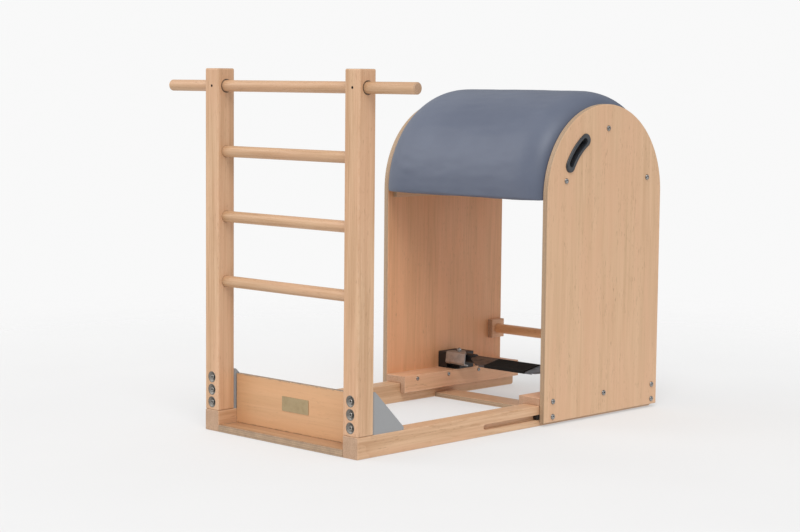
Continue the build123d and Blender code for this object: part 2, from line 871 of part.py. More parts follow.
def brake_plunger():
    shoe_top = rail_height + shoe_thickness
    collar_top = collar_bottom + plunger_collar_height
    stem = cylinder_z(plunger_x, post_y, shoe_top, plunger_diameter, collar_top - shoe_top)
    return stem + cylinder_z(plunger_x, post_y, collar_bottom, plunger_collar_diameter, plunger_collar_height)


def brake_shoe():
    return cylinder_z(plunger_x, post_y, rail_height, shoe_diameter, shoe_thickness)


def both_sides(name, left):
    return {name + "_left": [left], name + "_right": [mirrored(left)]}


def build():
    """Every named node with the list of its solids."""
    nodes = {}
    nodes.update(both_sides("base_rail", base_rail()))
    nodes.update(both_sides("upright", upright()))
    nodes["handle_bar"] = [handle_bar()]
    for name, height in zip(("rung_upper", "rung_middle", "rung_lower"), rung_heights):
        nodes[name] = [rung(height)]
    nodes["bar_set_screws"] = set_screws()
    nodes.update(both_sides("gusset", gusset()))
    nodes["gusset_screws"] = gusset_screws()
    nodes["upright_bolts"] = pair([upright_bolt(height) for height in bolt_heights])
    nodes["cup_washers"] = pair([cup_washer(height) for height in bolt_heights])
    nodes["upright_nuts"] = pair([upright_nut(height) for height in bolt_heights])
    nodes["foot_plate"] = [foot_plate()]
    nodes["foot_board"] = [foot_board()]
    nodes["name_plate"] = [name_plate()]
    nodes["cross_board"] = [cross_board()]
    nodes.update(both_sides("side_panel", side_panel()))
    nodes.update(both_sides("drum_rib", drum_rib_side()))
    nodes["drum_rib_middle"] = [drum_rib_middle()]
    nodes["drum_shell"] = [drum_shell()]
    nodes["drum_battens"] = drum_battens()
    nodes["barrel_pad"] = [barrel_pad()]
    nodes.update(both_sides("hand_grip", hand_grip()))
    nodes["panel_screws"] = panel_screws()
    nodes["stretcher_bar"] = [stretcher_bar()]
    nodes.update(both_sides("stretcher_block", stretcher_block()))
    nodes.update(both_sides("top_board", top_board()))
    nodes.update(both_sides("slide_strip", slide_strip()))
    nodes["strip_screws"] = strip_screws()
    nodes.update(both_sides("guide_strip", guide_strip()))
    nodes.update(both_sides("pivot_block", pivot_block()))
    nodes.update(both_sides("lock_bracket", lock_bracket()))
    nodes["bracket_bolts"] = bracket_bolts()
    nodes["pedal_plate"] = [pedal_plate()]
    nodes["pedal_grip"] = [pedal_grip()]
    nodes["pedal_shaft"] = [pedal_shaft()]
    nodes["release_levers"] = release_levers()
    nodes.update(both_sides("brake_plunger", brake_plunger()))
    nodes.update(both_sides("brake_shoe", brake_shoe()))
    return nodes


def write_parts(nodes):
    os.makedirs("parts", exist_ok=True)
    for name, pieces in nodes.items():
        solids = [solid for piece in pieces for solid in piece.solids()]
        moved = [solid.moved(Location((-origin_x, 0, 0))) for solid in solids]
        shape = moved[0] if len(moved) == 1 else Compound(children=moved)
        shape.label = name
        export_step(shape, f"parts/{name}.step")


write_parts(build())
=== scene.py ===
"""Pilates ladder barrel, dressed for a studio picture.

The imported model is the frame: its nodes keep their shape and place and get their finishes here. The padded
cover, the fasteners and the rubber tread are made again in finer detail and replace their nodes. All sizes
are in metres, in the frame's own axes: +X from the ladder towards the barrel, +Z up.
"""

import logging
import math
from collections.abc import Callable
from dataclasses import dataclass, field, replace
from enum import Enum

import bmesh
import bpy
import numpy as np
from mathutils import Matrix, Vector


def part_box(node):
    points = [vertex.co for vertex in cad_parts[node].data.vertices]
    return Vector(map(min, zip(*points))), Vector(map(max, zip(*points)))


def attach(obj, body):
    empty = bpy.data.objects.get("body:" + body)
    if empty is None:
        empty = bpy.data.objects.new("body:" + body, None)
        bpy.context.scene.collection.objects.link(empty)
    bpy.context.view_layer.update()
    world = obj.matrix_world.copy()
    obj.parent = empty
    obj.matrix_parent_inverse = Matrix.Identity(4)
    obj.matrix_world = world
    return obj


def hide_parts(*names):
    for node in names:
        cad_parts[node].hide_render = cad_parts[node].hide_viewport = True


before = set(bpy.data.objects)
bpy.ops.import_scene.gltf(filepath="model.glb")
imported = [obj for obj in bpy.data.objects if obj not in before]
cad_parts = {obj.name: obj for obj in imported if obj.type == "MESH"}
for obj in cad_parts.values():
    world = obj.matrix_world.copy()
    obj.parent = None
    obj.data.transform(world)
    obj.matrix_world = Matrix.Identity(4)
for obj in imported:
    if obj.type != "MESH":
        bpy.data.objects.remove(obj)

log = logging.getLogger("ladder_barrel")

MM = 0.001
SAME_PLACE = 0.01 * MM

Color = tuple[float, float, float, float]
Triple = tuple[float, float, float]
Piece = bpy.types.Object
Material = bpy.types.Material
NodeTree = bpy.types.NodeTree
Node = bpy.types.Node
Socket = bpy.types.NodeSocket


class Grain(Enum):
    """The direction in which a piece's wood fibres run."""

    ALONG_X = "X"
    ALONG_Y = "Y"
    ALONG_Z = "Z"


# Mesh helpers


def wrapped_quads(rows: int, columns: int, closed: bool) -> np.ndarray:
    """The corner numbers of the quads of a grid, worked out as whole arrays.

    Args:
        rows: Number of rows of points.
        columns: Number of points in a row.
        closed: Whether the last point of each row joins the first.

    Returns:
        One row of four vertex numbers per quad.
    """
    reach = columns if closed else columns - 1
    row, column = np.meshgrid(np.arange(rows - 1), np.arange(reach), indexing="ij")
    after = (column + 1) % columns
    corners = [row * columns + column, row * columns + after, (row + 1) * columns + after, (row + 1) * columns + column]
    return np.stack([corner.ravel() for corner in corners], axis=1)


@dataclass
class Surface:
    """Grids of points that are gathered into one mesh.

    Attributes:
        name: Name of the finished piece.
    """

    name: str
    points: list[np.ndarray] = field(default_factory=list)
    quads: list[np.ndarray] = field(default_factory=list)
    count: int = 0

    def add(self, grid: np.ndarray, closed: bool = False) -> None:
        """Adds one grid of points.

        Args:
            grid: Points as an array of rows, columns and three coordinates.
            closed: Whether each row runs round and meets itself.
        """
        rows, columns = grid.shape[:2]
        self.quads.append(wrapped_quads(rows, columns, closed) + self.count)
        self.points.append(grid.reshape(-1, 3))
        self.count += rows * columns

    def build(self, smooth_angle: float = 35.0) -> Piece:
        """Makes the object, with its doubles merged and its faces turned outwards.

        Args:
            smooth_angle: Edges that turn by less than this many degrees are shaded smooth.

        Returns:
            The new object, at the origin.
        """
        mesh = bpy.data.meshes.new(self.name)
        mesh.from_pydata(np.concatenate(self.points).tolist(), [], np.concatenate(self.quads).tolist())
        shape = bmesh.new()
        shape.from_mesh(mesh)
        bmesh.ops.remove_doubles(shape, verts=shape.verts, dist=1e-6)
        bmesh.ops.dissolve_degenerate(shape, edges=shape.edges, dist=1e-7)
        bmesh.ops.recalc_face_normals(shape, faces=shape.faces)
        shape.to_mesh(mesh)
        shape.free()
        mesh.shade_smooth()
        mesh.set_sharp_from_angle(angle=math.radians(smooth_angle))
        piece = bpy.data.objects.new(self.name, mesh)
        bpy.context.scene.collection.objects.link(piece)
        return piece


def ring_angles(count: int = 48) -> np.ndarray:
    """Evenly spaced angles round a circle, a multiple of six so that hexagon corners fall on them."""
    return np.arange(count) * (2 * math.pi / count)


def hexagon(angles: np.ndarray) -> np.ndarray:
    """Radius of a hexagon whose flats lie one unit from its centre: 1 / cos of the angle from the nearest flat."""
    sector = math.pi / 3
    return 1 / np.cos(np.mod(angles, sector) - sector / 2)


def turned(profile: np.ndarray, limit: np.ndarray | None = None) -> np.ndarray:
    """Carries a profile round +Z: the radius is r times a mix of the circle and the hexagon.

    Args:
        profile: Rows of radius, height and hexagon share from 0 to 1. A hexagon's radius is half its width.
        limit: Largest radius in each row, which gives a nut its turned corners.

    Returns:
        Grid of points, one row per profile point, closed round the axis.
    """
    angles = ring_angles()
    radius, height, share = (profile[:, i : i + 1] for i in range(3))
    reach = radius * (1 - share + share * hexagon(angles)[None, :])
    if limit is not None:
        reach = np.minimum(reach, limit[:, None])
    x = reach * np.cos(angles)
    y = reach * np.sin(angles)
    return np.stack([x, y, np.broadcast_to(height, x.shape)], axis=-1)


def placed(grid: np.ndarray, origin: np.ndarray, outward: np.ndarray) -> np.ndarray:
    """Turns a grid so that its +Z points outward and moves it to its origin."""
    turn = Vector((0, 0, 1)).rotation_difference(Vector(outward)).to_matrix()
    return grid @ np.array(turn).T + np.asarray(origin)


def points_of(mesh: bpy.types.Mesh) -> np.ndarray:
    """Reads the places of a mesh's vertices.

    Args:
        mesh: The mesh.

    Returns:
        One row per vertex.
    """
    points = np.empty(len(mesh.vertices) * 3)
    mesh.vertices.foreach_get("co", points)
    return points.reshape(-1, 3)


def solids_of(node: str) -> list[tuple[np.ndarray, np.ndarray]]:
    """Finds the separate solids of a node.

    Points that an edge joins take the lowest label among their neighbours, until no label changes.

    Args:
        node: Name of a node that holds several solids.

    Returns:
        Lowest and highest corner of each solid.
    """
    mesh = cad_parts[node].data
    points = points_of(mesh)
    edges = np.empty(len(mesh.edges) * 2, dtype=np.int64)
    mesh.edges.foreach_get("vertices", edges)
    _, merged = np.unique(np.round(points / SAME_PLACE).astype(np.int64), axis=0, return_inverse=True)
    merged = merged.ravel()
    pairs = merged[edges.reshape(-1, 2)]
    labels = np.arange(merged.max() + 1)
    while True:
        lowest = np.minimum(labels[pairs[:, 0]], labels[pairs[:, 1]])
        spread = labels.copy()
        np.minimum.at(spread, pairs[:, 0], lowest)
        np.minimum.at(spread, pairs[:, 1], lowest)
        if np.array_equal(spread, labels):
            break
        labels = spread
    owner = labels[merged]
    return [(points[owner == label].min(0), points[owner == label].max(0)) for label in np.unique(owner)]


# Node trees


@dataclass
class Sketch:
    """Adds and links the nodes of one node tree."""

    tree: NodeTree

    def node(self, kind: str, values: dict | None = None, **settings: object) -> Node:
        """Adds a node and fills its inputs.

        Args:
            kind: Type name of the node.
            values: Input names or numbers with a constant or the output socket that feeds them.
            settings: Properties of the node itself.

        Returns:
            The new node.
        """
        made = self.tree.nodes.new(kind)
        for name, value in settings.items():
            setattr(made, name, value)
        self.fill(made, values or {})
        return made

    def fill(self, made: Node, values: dict) -> None:
        """Fills the inputs of a node.

        Args:
            made: The node.
            values: Input names or numbers with a constant or the output socket that feeds them.
        """
        for key, value in values.items():
            if isinstance(value, Socket):
                self.tree.links.new(value, made.inputs[key])
            else:
                made.inputs[key].default_value = value

    def math(self, operation: str, a: object, b: object = 0.0, c: object = 0.0) -> Socket:
        """One math node's result."""
        return self.node("ShaderNodeMath", {0: a, 1: b, 2: c}, operation=operation).outputs[0]

    def vector(self, operation: str, a: object, b: object = (0, 0, 0)) -> Node:
        """One vector math node."""
        return self.node("ShaderNodeVectorMath", {0: a, 1: b}, operation=operation)

    def noise(self, vector: object, scale: object, detail: float = 2.0, rough: float = 0.5) -> Socket:
        """Grey value of a noise texture."""
        values = {"Vector": vector, "Scale": scale, "Detail": detail, "Roughness": rough}
        return self.node("ShaderNodeTexNoise", values).outputs["Fac"]

    def stretched(self, vector: object, scale: Triple) -> Socket:
        """A vector multiplied by a scale on each axis."""
        return self.vector("MULTIPLY", vector, scale).outputs[0]

    def ramp(self, value: object, low: object, high: object) -> Socket:
        """A smooth step from 0 at low to 1 at high."""
        values = {"Value": value, "From Min": low, "From Max": high}
        return self.node("ShaderNodeMapRange", values, interpolation_type="SMOOTHSTEP").outputs["Result"]

    def blend(self, share: object, a: object, b: object) -> Socket:
        """Mixes two colours: a mix node takes them in its inputs 6 and 7 and gives its output 2."""
        settings = {"data_type": "RGBA", "blend_type": "MIX", "clamp_factor": True}
        return self.node("ShaderNodeMix", {0: share, 6: a, 7: b}, **settings).outputs[2]

    def object_place(self) -> Socket:
        """Object coordinates, which are the frame's own axes in metres."""
        return self.node("ShaderNodeTexCoord").outputs["Object"]

    def facing(self, axis: str) -> Socket:
        """How squarely the surface faces along an axis of the object, from 0 to 1."""
        normal = self.node("ShaderNodeTexCoord").outputs["Normal"]
        return self.math("ABSOLUTE", self.node("ShaderNodeSeparateXYZ", {0: normal}).outputs[axis])

    def along_z(self, place: Socket, grain: Grain) -> Socket:
        """Turns coordinates so that +Z runs along the grain.

        Args:
            place: Object coordinates.
            grain: Direction of the fibres or lines.

        Returns:
            The turned coordinates.
        """
        x, y, z = self.node("ShaderNodeSeparateXYZ", {0: place}).outputs
        order = {Grain.ALONG_X: (y, z, x), Grain.ALONG_Y: (z, x, y), Grain.ALONG_Z: (x, y, z)}[grain]
        return self.node("ShaderNodeCombineXYZ", dict(enumerate(order))).outputs[0]

    def feed(self, target: Node, values: dict[str, Socket]) -> None:
        """Links results into a group's output or a shader."""
        for name, value in values.items():
            self.tree.links.new(value, target.inputs[name])


def new_group(name: str, inputs: dict[str, str], outputs: dict[str, str]) -> tuple[Sketch, Node, Node]:
    """Starts a shader node group.

    Args:
        name: Name of the group.
        inputs: Names and socket types of its inputs.
        outputs: Names and socket types of its outputs.

    Returns:
        The sketch of its tree, its input node and its output node.
    """
    tree = bpy.data.node_groups.new(name, "ShaderNodeTree")
    for label, kind in inputs.items():
        tree.interface.new_socket(label, in_out="INPUT", socket_type=kind)
    for label, kind in outputs.items():
        tree.interface.new_socket(label, in_out="OUTPUT", socket_type=kind)
    sketch = Sketch(tree)
    return sketch, sketch.node("NodeGroupInput"), sketch.node("NodeGroupOutput")


FLOAT, VECTOR, COLOR = "NodeSocketFloat", "NodeSocketVector", "NodeSocketColor"


@dataclass(frozen=True)
class Streaks:
    """A noise stretched along +Z and cut to a mask.

    Attributes:
        across: Its fineness across the fibres, per metre.
        along: Its fineness along them, per metre.
        detail: Number of finer octaves.
        low: Grey value below which the mask is 0.
        high: Grey value above which it is 1.
        rough: Strength of the finer octaves.
    """

    across: float
    along: float
    detail: float
    low: float
    high: float
    rough: float = 0.5

    def mask(self, sketch: Sketch, place: Socket) -> Socket:
        """The mask at a place: the noise with a smooth step between its two grey values."""
        stretched = sketch.stretched(place, (self.across, self.across, self.along))
        return sketch.ramp(sketch.noise(stretched, 1.0, self.detail, self.rough), self.low, self.high)


FADING_RINGS = Streaks(45, 3.5, 2.0, 0.38, 0.66)
TONE_BANDS = Streaks(42, 1.7, 3.0, 0.34, 0.70, 0.55)
WARM_PARTS = Streaks(17, 2.6, 3.0, 0.36, 0.66)
FINE_STREAKS = Streaks(430, 7, 4.0, 0.36, 0.70, 0.6)
BROAD_STRIPES = Streaks(150, 5, 3.0, 0.38, 0.66, 0.55)
RAY_FLECKS = Streaks(420, 48, 1.0, 0.63, 0.74)
FLECK_CLUSTERS = Streaks(24, 7, 2.0, 0.36, 0.62)
LONG_SCRATCHES = Streaks(900, 14, 2.0, 0.66, 0.72)

FLECK_BROWN = (0.27, 0.135, 0.065, 1)
PLY_PALE = (0.52, 0.36, 0.22, 1)
PLY_BROWN = (0.36, 0.235, 0.15, 1)
PLY_FIBRE = (0.40, 0.28, 0.18, 1)
GLUE_BROWN = (0.17, 0.10, 0.06, 1)


class Effects:
    """The effects that several finishes share, each a node group built once.

    Attributes:
        ring_share: How much the growth rings darken the wood.
        band_share: How much the tone bands do.
        stripe_share: How much the broad stripes do.
        streak_share: How much the fine streaks do.
        warm_share: How strongly the warm parts take their colour.
        glue_share: How dark the glue lines between plies are.
        ripple: How far the plies wander from their depth.
        bend: How far the rings wander from a circle.
        ply_turn: Turn of a sine from one ply to the next, which makes them pale and brown by turns.
    """

    ring_share: float = 0.36
    band_share: float = 0.36
    stripe_share: float = 0.30
    streak_share: float = 0.22
    warm_share: float = 0.55
    glue_share: float = 0.55
    ripple: float = 0.5 * MM
    bend: Triple = (0.07, 0.07, 0)
    ply_turn: float = math.pi + 1.3

    def __init__(self) -> None:
        """Builds every group."""
        self.figure = self.wood_figure()
        self.plies = self.ply_layers()
        self.arris = self.box_arris()
        self.handling = self.handling_marks()
        self.brushing = self.brushed_lines()

    def place(self, sketch: Sketch, group: NodeTree, values: dict) -> Node:
        """Places one of the groups in a material's tree with its own values."""
        return sketch.node("ShaderNodeGroup", values, node_tree=group)

    def wood_figure(self) -> NodeTree:
        """Growth rings, tone bands, fine streaks and ray flecks of a wood whose fibres run along +Z.

        A ring is the fractional part of the distance from the pith over the ring width, raised to a high power,
        so that each ring ends in a thin darker line. Slow noises bend the rings, change their spacing and fade
        some of them. Bands, streaks and flecks are noises stretched along the fibres.

        Returns:
            The group.
        """
        inputs = {"Place": VECTOR, "Light": COLOR, "Dark": COLOR, "Warm": COLOR}
        inputs |= {"Ring Width": FLOAT, "Figure": FLOAT, "Flecks": FLOAT}
        outputs = {"Color": COLOR, "Height": FLOAT, "Gloss": FLOAT}
        sketch, given, result = new_group("Wood figure", inputs, outputs)
        place = given.outputs["Place"]
        wander = {"Vector": sketch.stretched(place, (6, 6, 1.2)), "Scale": 1.0, "Detail": 3.0}
        wandering = sketch.node("ShaderNodeTexNoise", wander).outputs["Color"]
        offset = sketch.stretched(sketch.vector("SUBTRACT", wandering, (0.5, 0.5, 0.5)).outputs[0], self.bend)
        bent = sketch.stretched(sketch.vector("ADD", place, offset).outputs[0], (1, 1, 0))
        distance = sketch.vector("LENGTH", bent).outputs["Value"]
        turns = sketch.math("DIVIDE", distance, given.outputs["Ring Width"])
        spacing = {"W": turns, "Scale": 0.21, "Detail": 2.0}
        uneven = sketch.node("ShaderNodeTexNoise", spacing, noise_dimensions="1D").outputs["Fac"]
        turns = sketch.math("MULTIPLY_ADD", uneven, 5.0, turns)
        rings = sketch.math("POWER", sketch.math("FRACT", turns), 3.0)
        rings = sketch.math("MULTIPLY", rings, FADING_RINGS.mask(sketch, place))
        bands = TONE_BANDS.mask(sketch, place)
        streaks = FINE_STREAKS.mask(sketch, place)
        stripes = BROAD_STRIPES.mask(sketch, place)
        grain = sketch.noise(sketch.stretched(place, (1500, 1500, 60)), 1.0, 2.0)
        tone = sketch.math("MULTIPLY", rings, self.ring_share)
        tone = sketch.math("MULTIPLY_ADD", bands, self.band_share, tone)
        tone = sketch.math("MULTIPLY_ADD", stripes, self.stripe_share, tone)
        tone = sketch.math("MULTIPLY_ADD", streaks, self.streak_share, tone)
        tone = sketch.math("MULTIPLY", tone, given.outputs["Figure"])
        color = sketch.blend(tone, given.outputs["Light"], given.outputs["Dark"])
        warmth = sketch.math("MULTIPLY", WARM_PARTS.mask(sketch, place), self.warm_share)
        color = sketch.blend(warmth, color, given.outputs["Warm"])
        flecks = sketch.math("MULTIPLY", RAY_FLECKS.mask(sketch, place), FLECK_CLUSTERS.mask(sketch, place))
        flecks = sketch.math("MULTIPLY", flecks, given.outputs["Flecks"])
        color = sketch.blend(flecks, color, FLECK_BROWN)
        height = sketch.math("MULTIPLY_ADD", streaks, 0.4, sketch.math("MULTIPLY", grain, 0.6))
        height = sketch.math("SUBTRACT", height, sketch.math("MULTIPLY", flecks, 0.5))
        gloss = sketch.math("MULTIPLY_ADD", grain, 0.5, sketch.math("MULTIPLY", bands, 0.5))
        sketch.feed(result, {"Color": color, "Height": height, "Gloss": gloss})
        return sketch.tree

    def ply_layers(self) -> NodeTree:
        """The layers on a plywood edge: each ply is pale or brown in turn, with a thin dark glue line between.

        Returns:
            The group.
        """
        inputs = {"Place": VECTOR, "Depth": FLOAT, "Ply": FLOAT}
        sketch, given, result = new_group("Ply layers", inputs, {"Color": COLOR, "Height": FLOAT})
        place = given.outputs["Place"]
        ripple = sketch.noise(sketch.stretched(place, (25, 25, 25)), 1.0, 2.0)
        depth = sketch.math("MULTIPLY_ADD", ripple, self.ripple, given.outputs["Depth"])
        layers = sketch.math("DIVIDE", depth, given.outputs["Ply"])
        part = sketch.math("FRACT", layers)
        from_glue = sketch.math("MINIMUM", part, sketch.math("SUBTRACT", 1.0, part))
        glue = sketch.math("SUBTRACT", 1.0, sketch.ramp(from_glue, 0.04, 0.16))
        turn = sketch.math("MULTIPLY", sketch.math("FLOOR", layers), self.ply_turn)
        odd = sketch.ramp(sketch.math("SINE", turn), -0.4, 0.4)
        fibre = sketch.noise(sketch.stretched(place, (260, 260, 260)), 1.0, 4.0, 0.65)
        color = sketch.blend(odd, PLY_PALE, PLY_BROWN)
        color = sketch.blend(sketch.ramp(fibre, 0.35, 0.75), color, PLY_FIBRE)
        color = sketch.blend(sketch.math("MULTIPLY", glue, self.glue_share), color, GLUE_BROWN)
        height = sketch.math("SUBTRACT", fibre, sketch.math("MULTIPLY", glue, 0.6))
        sketch.feed(result, {"Color": color, "Height": height})
        return sketch.tree

    def box_arris(self) -> NodeTree:
        """How near a point of a box-shaped piece is to an edge.

        That is the middle one of its three distances to the faces, so it is small where two faces meet. A noise makes
        the
        edge mark ragged: paler wear on most pieces, and dirt with painted shade on the soiled ones.

        Returns:
            The group.
        """
        inputs = {"Place": VECTOR, "Centre": VECTOR, "Half Size": VECTOR, "Width": FLOAT}
        sketch, given, result = new_group("Box arris", inputs, {"Mask": FLOAT})
        offset = sketch.vector("SUBTRACT", given.outputs["Place"], given.outputs["Centre"])
        away = sketch.vector("ABSOLUTE", offset.outputs[0])
        gaps = sketch.vector("SUBTRACT", given.outputs["Half Size"], away.outputs[0])
        x, y, z = sketch.node("ShaderNodeSeparateXYZ", {0: gaps.outputs[0]}).outputs
        lower = sketch.math("MINIMUM", x, y)
        upper = sketch.math("MAXIMUM", x, y)
        middle = sketch.math("MAXIMUM", lower, sketch.math("MINIMUM", upper, z))
        near = sketch.math("SUBTRACT", 1.0, sketch.ramp(middle, 0.0, given.outputs["Width"]))
        ragged = sketch.noise(given.outputs["Place"], 55.0, 4.0, 0.6)
        mask = sketch.math("MULTIPLY", near, sketch.ramp(ragged, 0.35, 0.65))
        sketch.feed(result, {"Mask": mask})
        return sketch.tree

    def handling_marks(self) -> NodeTree:
        """Soft smudges and fine dust that change the gloss: two noises of different size, multiplied.

        Returns:
            The group.
        """
        sketch, given, result = new_group("Handling marks", {"Place": VECTOR, "Size": FLOAT}, {"Mask": FLOAT})
        scale = sketch.math("DIVIDE", 1.0, given.outputs["Size"])
        smudge = sketch.ramp(sketch.noise(given.outputs["Place"], scale, 4.0, 0.55), 0.4, 0.68)
        dust = sketch.noise(given.outputs["Place"], sketch.math("MULTIPLY", scale, 40.0), 2.0, 0.6)
        mask = sketch.math("MULTIPLY", smudge, sketch.math("MULTIPLY_ADD", dust, 0.6, 0.5))
        sketch.feed(result, {"Mask": mask})
        return sketch.tree

    def brushed_lines(self) -> NodeTree:
        """Fine parallel lines of brushed metal along +Z, with a few longer scratches.

        Returns:
            The group.
        """
        sketch, given, result = new_group("Brushed lines", {"Place": VECTOR}, {"Height": FLOAT, "Scratches": FLOAT})
        place = given.outputs["Place"]
        lines = sketch.noise(sketch.stretched(place, (3500, 3500, 40)), 1.0, 3.0, 0.6)
        sketch.feed(result, {"Height": lines, "Scratches": LONG_SCRATCHES.mask(sketch, place)})
        return sketch.tree


# Finishes


def new_material(name: str) -> tuple[Material, Sketch, Node]:
    """Starts a material with an empty Principled shader.

    Args:
        name: Name of the material.

    Returns:
        The material, the sketch of its tree and its shader node.
    """
    made = bpy.data.materials.new(name)
    made.use_nodes = True
    made.node_tree.nodes.clear()
    sketch = Sketch(made.node_tree)
    shader = sketch.node("ShaderNodeBsdfPrincipled")
    sketch.node("ShaderNodeOutputMaterial", {"Surface": shader.outputs[0]})
    return made, sketch, shader


def raise_surface(sketch: Sketch, shader: Node, height: Socket, strength: float, depth: float) -> None:
    """Feeds a height through a bump node into the shader's normal."""
    bump = sketch.node("ShaderNodeBump", {"Height": height, "Strength": strength, "Distance": depth})
    sketch.feed(shader, {"Normal": bump.outputs[0]})


def dress(piece: Piece, material: Material) -> None:
    """Gives every slot of a piece the material, or adds a slot where it has none.

    Args:
        piece: The piece.
        material: Its finish.
    """
    if not piece.material_slots:
        piece.data.materials.append(material)
    for slot in piece.material_slots:
        slot.material = material


@dataclass(frozen=True)
class WoodTone:
    """Colours of one kind of lacquered beech, as linear values."""

    light: Color
    dark: Color
    warm: Color


BEECH = WoodTone(light=(0.71, 0.465, 0.285, 1), dark=(0.50, 0.285, 0.15, 1), warm=(0.67, 0.385, 0.23, 1))
VENEER = WoodTone(light=(0.69, 0.445, 0.27, 1), dark=(0.50, 0.30, 0.16, 1), warm=(0.68, 0.405, 0.245, 1))
# The left panel's veneer: the same wood as the right panel, painted redder and brighter with the warm light that the
# drum's inside throws onto it.
VENEER_PAINTED_BOUNCE = WoodTone(light=(0.81, 0.44, 0.24, 1), dark=(0.58, 0.30, 0.145, 1), warm=(0.80, 0.405, 0.215, 1))
AMBER = WoodTone(light=(0.68, 0.405, 0.215, 1), dark=(0.48, 0.255, 0.115, 1), warm=(0.70, 0.385, 0.195, 1))
# Beech of the strips, top boards and stretcher blocks inside the barrel: its rosier tone is the wood's, and it is
# lightened to paint in light that the barrel's shade keeps from them.
ROSY_PAINTED_LIGHT = WoodTone(light=(0.76, 0.455, 0.275, 1), dark=(0.55, 0.30, 0.16, 1), warm=(0.75, 0.40, 0.24, 1))
DOWEL = WoodTone(light=(0.63, 0.405, 0.24, 1), dark=(0.45, 0.255, 0.13, 1), warm=(0.60, 0.345, 0.20, 1))
# The stretcher bar's beech, lightened to paint in light that the shade of the drum and panels keeps from it.
HONEY_PAINTED_LIGHT = WoodTone(light=(0.86, 0.52, 0.285, 1), dark=(0.62, 0.335, 0.16, 1), warm=(0.86, 0.475, 0.25, 1))
TRODDEN = WoodTone(light=(0.53, 0.315, 0.18, 1), dark=(0.31, 0.17, 0.085, 1), warm=(0.50, 0.28, 0.15, 1))
RUBBED_EDGE = (0.76, 0.53, 0.36, 1)
# Dark edge colour of the foot board and foot plate: dirt, and painted shade along their joints with the posts and each
# other.
DIRT_AND_SHADE_EDGE = (0.17, 0.115, 0.075, 1)
END_GRAIN_PALE = (0.43, 0.285, 0.195, 1)
END_GRAIN_DARK = (0.26, 0.16, 0.105, 1)
# Painted shade: a near-black brown laid round the holes in the posts, for the shade in the gap round the bar, the rungs
# and the set screws.
RIM_PAINTED_SHADE = (0.09, 0.055, 0.035, 1)
EDGE_DIRT = (0.16, 0.10, 0.065, 1)
WHITE = (1, 1, 1, 1)


@dataclass(frozen=True)
class Hole:
    """A hole with painted shade round its rim, for the shade in the gap between the hole and what sits in it.

    Attributes:
        axis: Direction of the hole.
        centre: A point on its axis.
        radius: Radius of the hole.
        border: Width of the border of painted shade.
        share: Strength of the painted shade.
        reach: How far along the hole, from the object's middle, the border goes on.
    """

    axis: Grain
    centre: Triple
    radius: float
    border: float
    share: float
    reach: float = 1.0


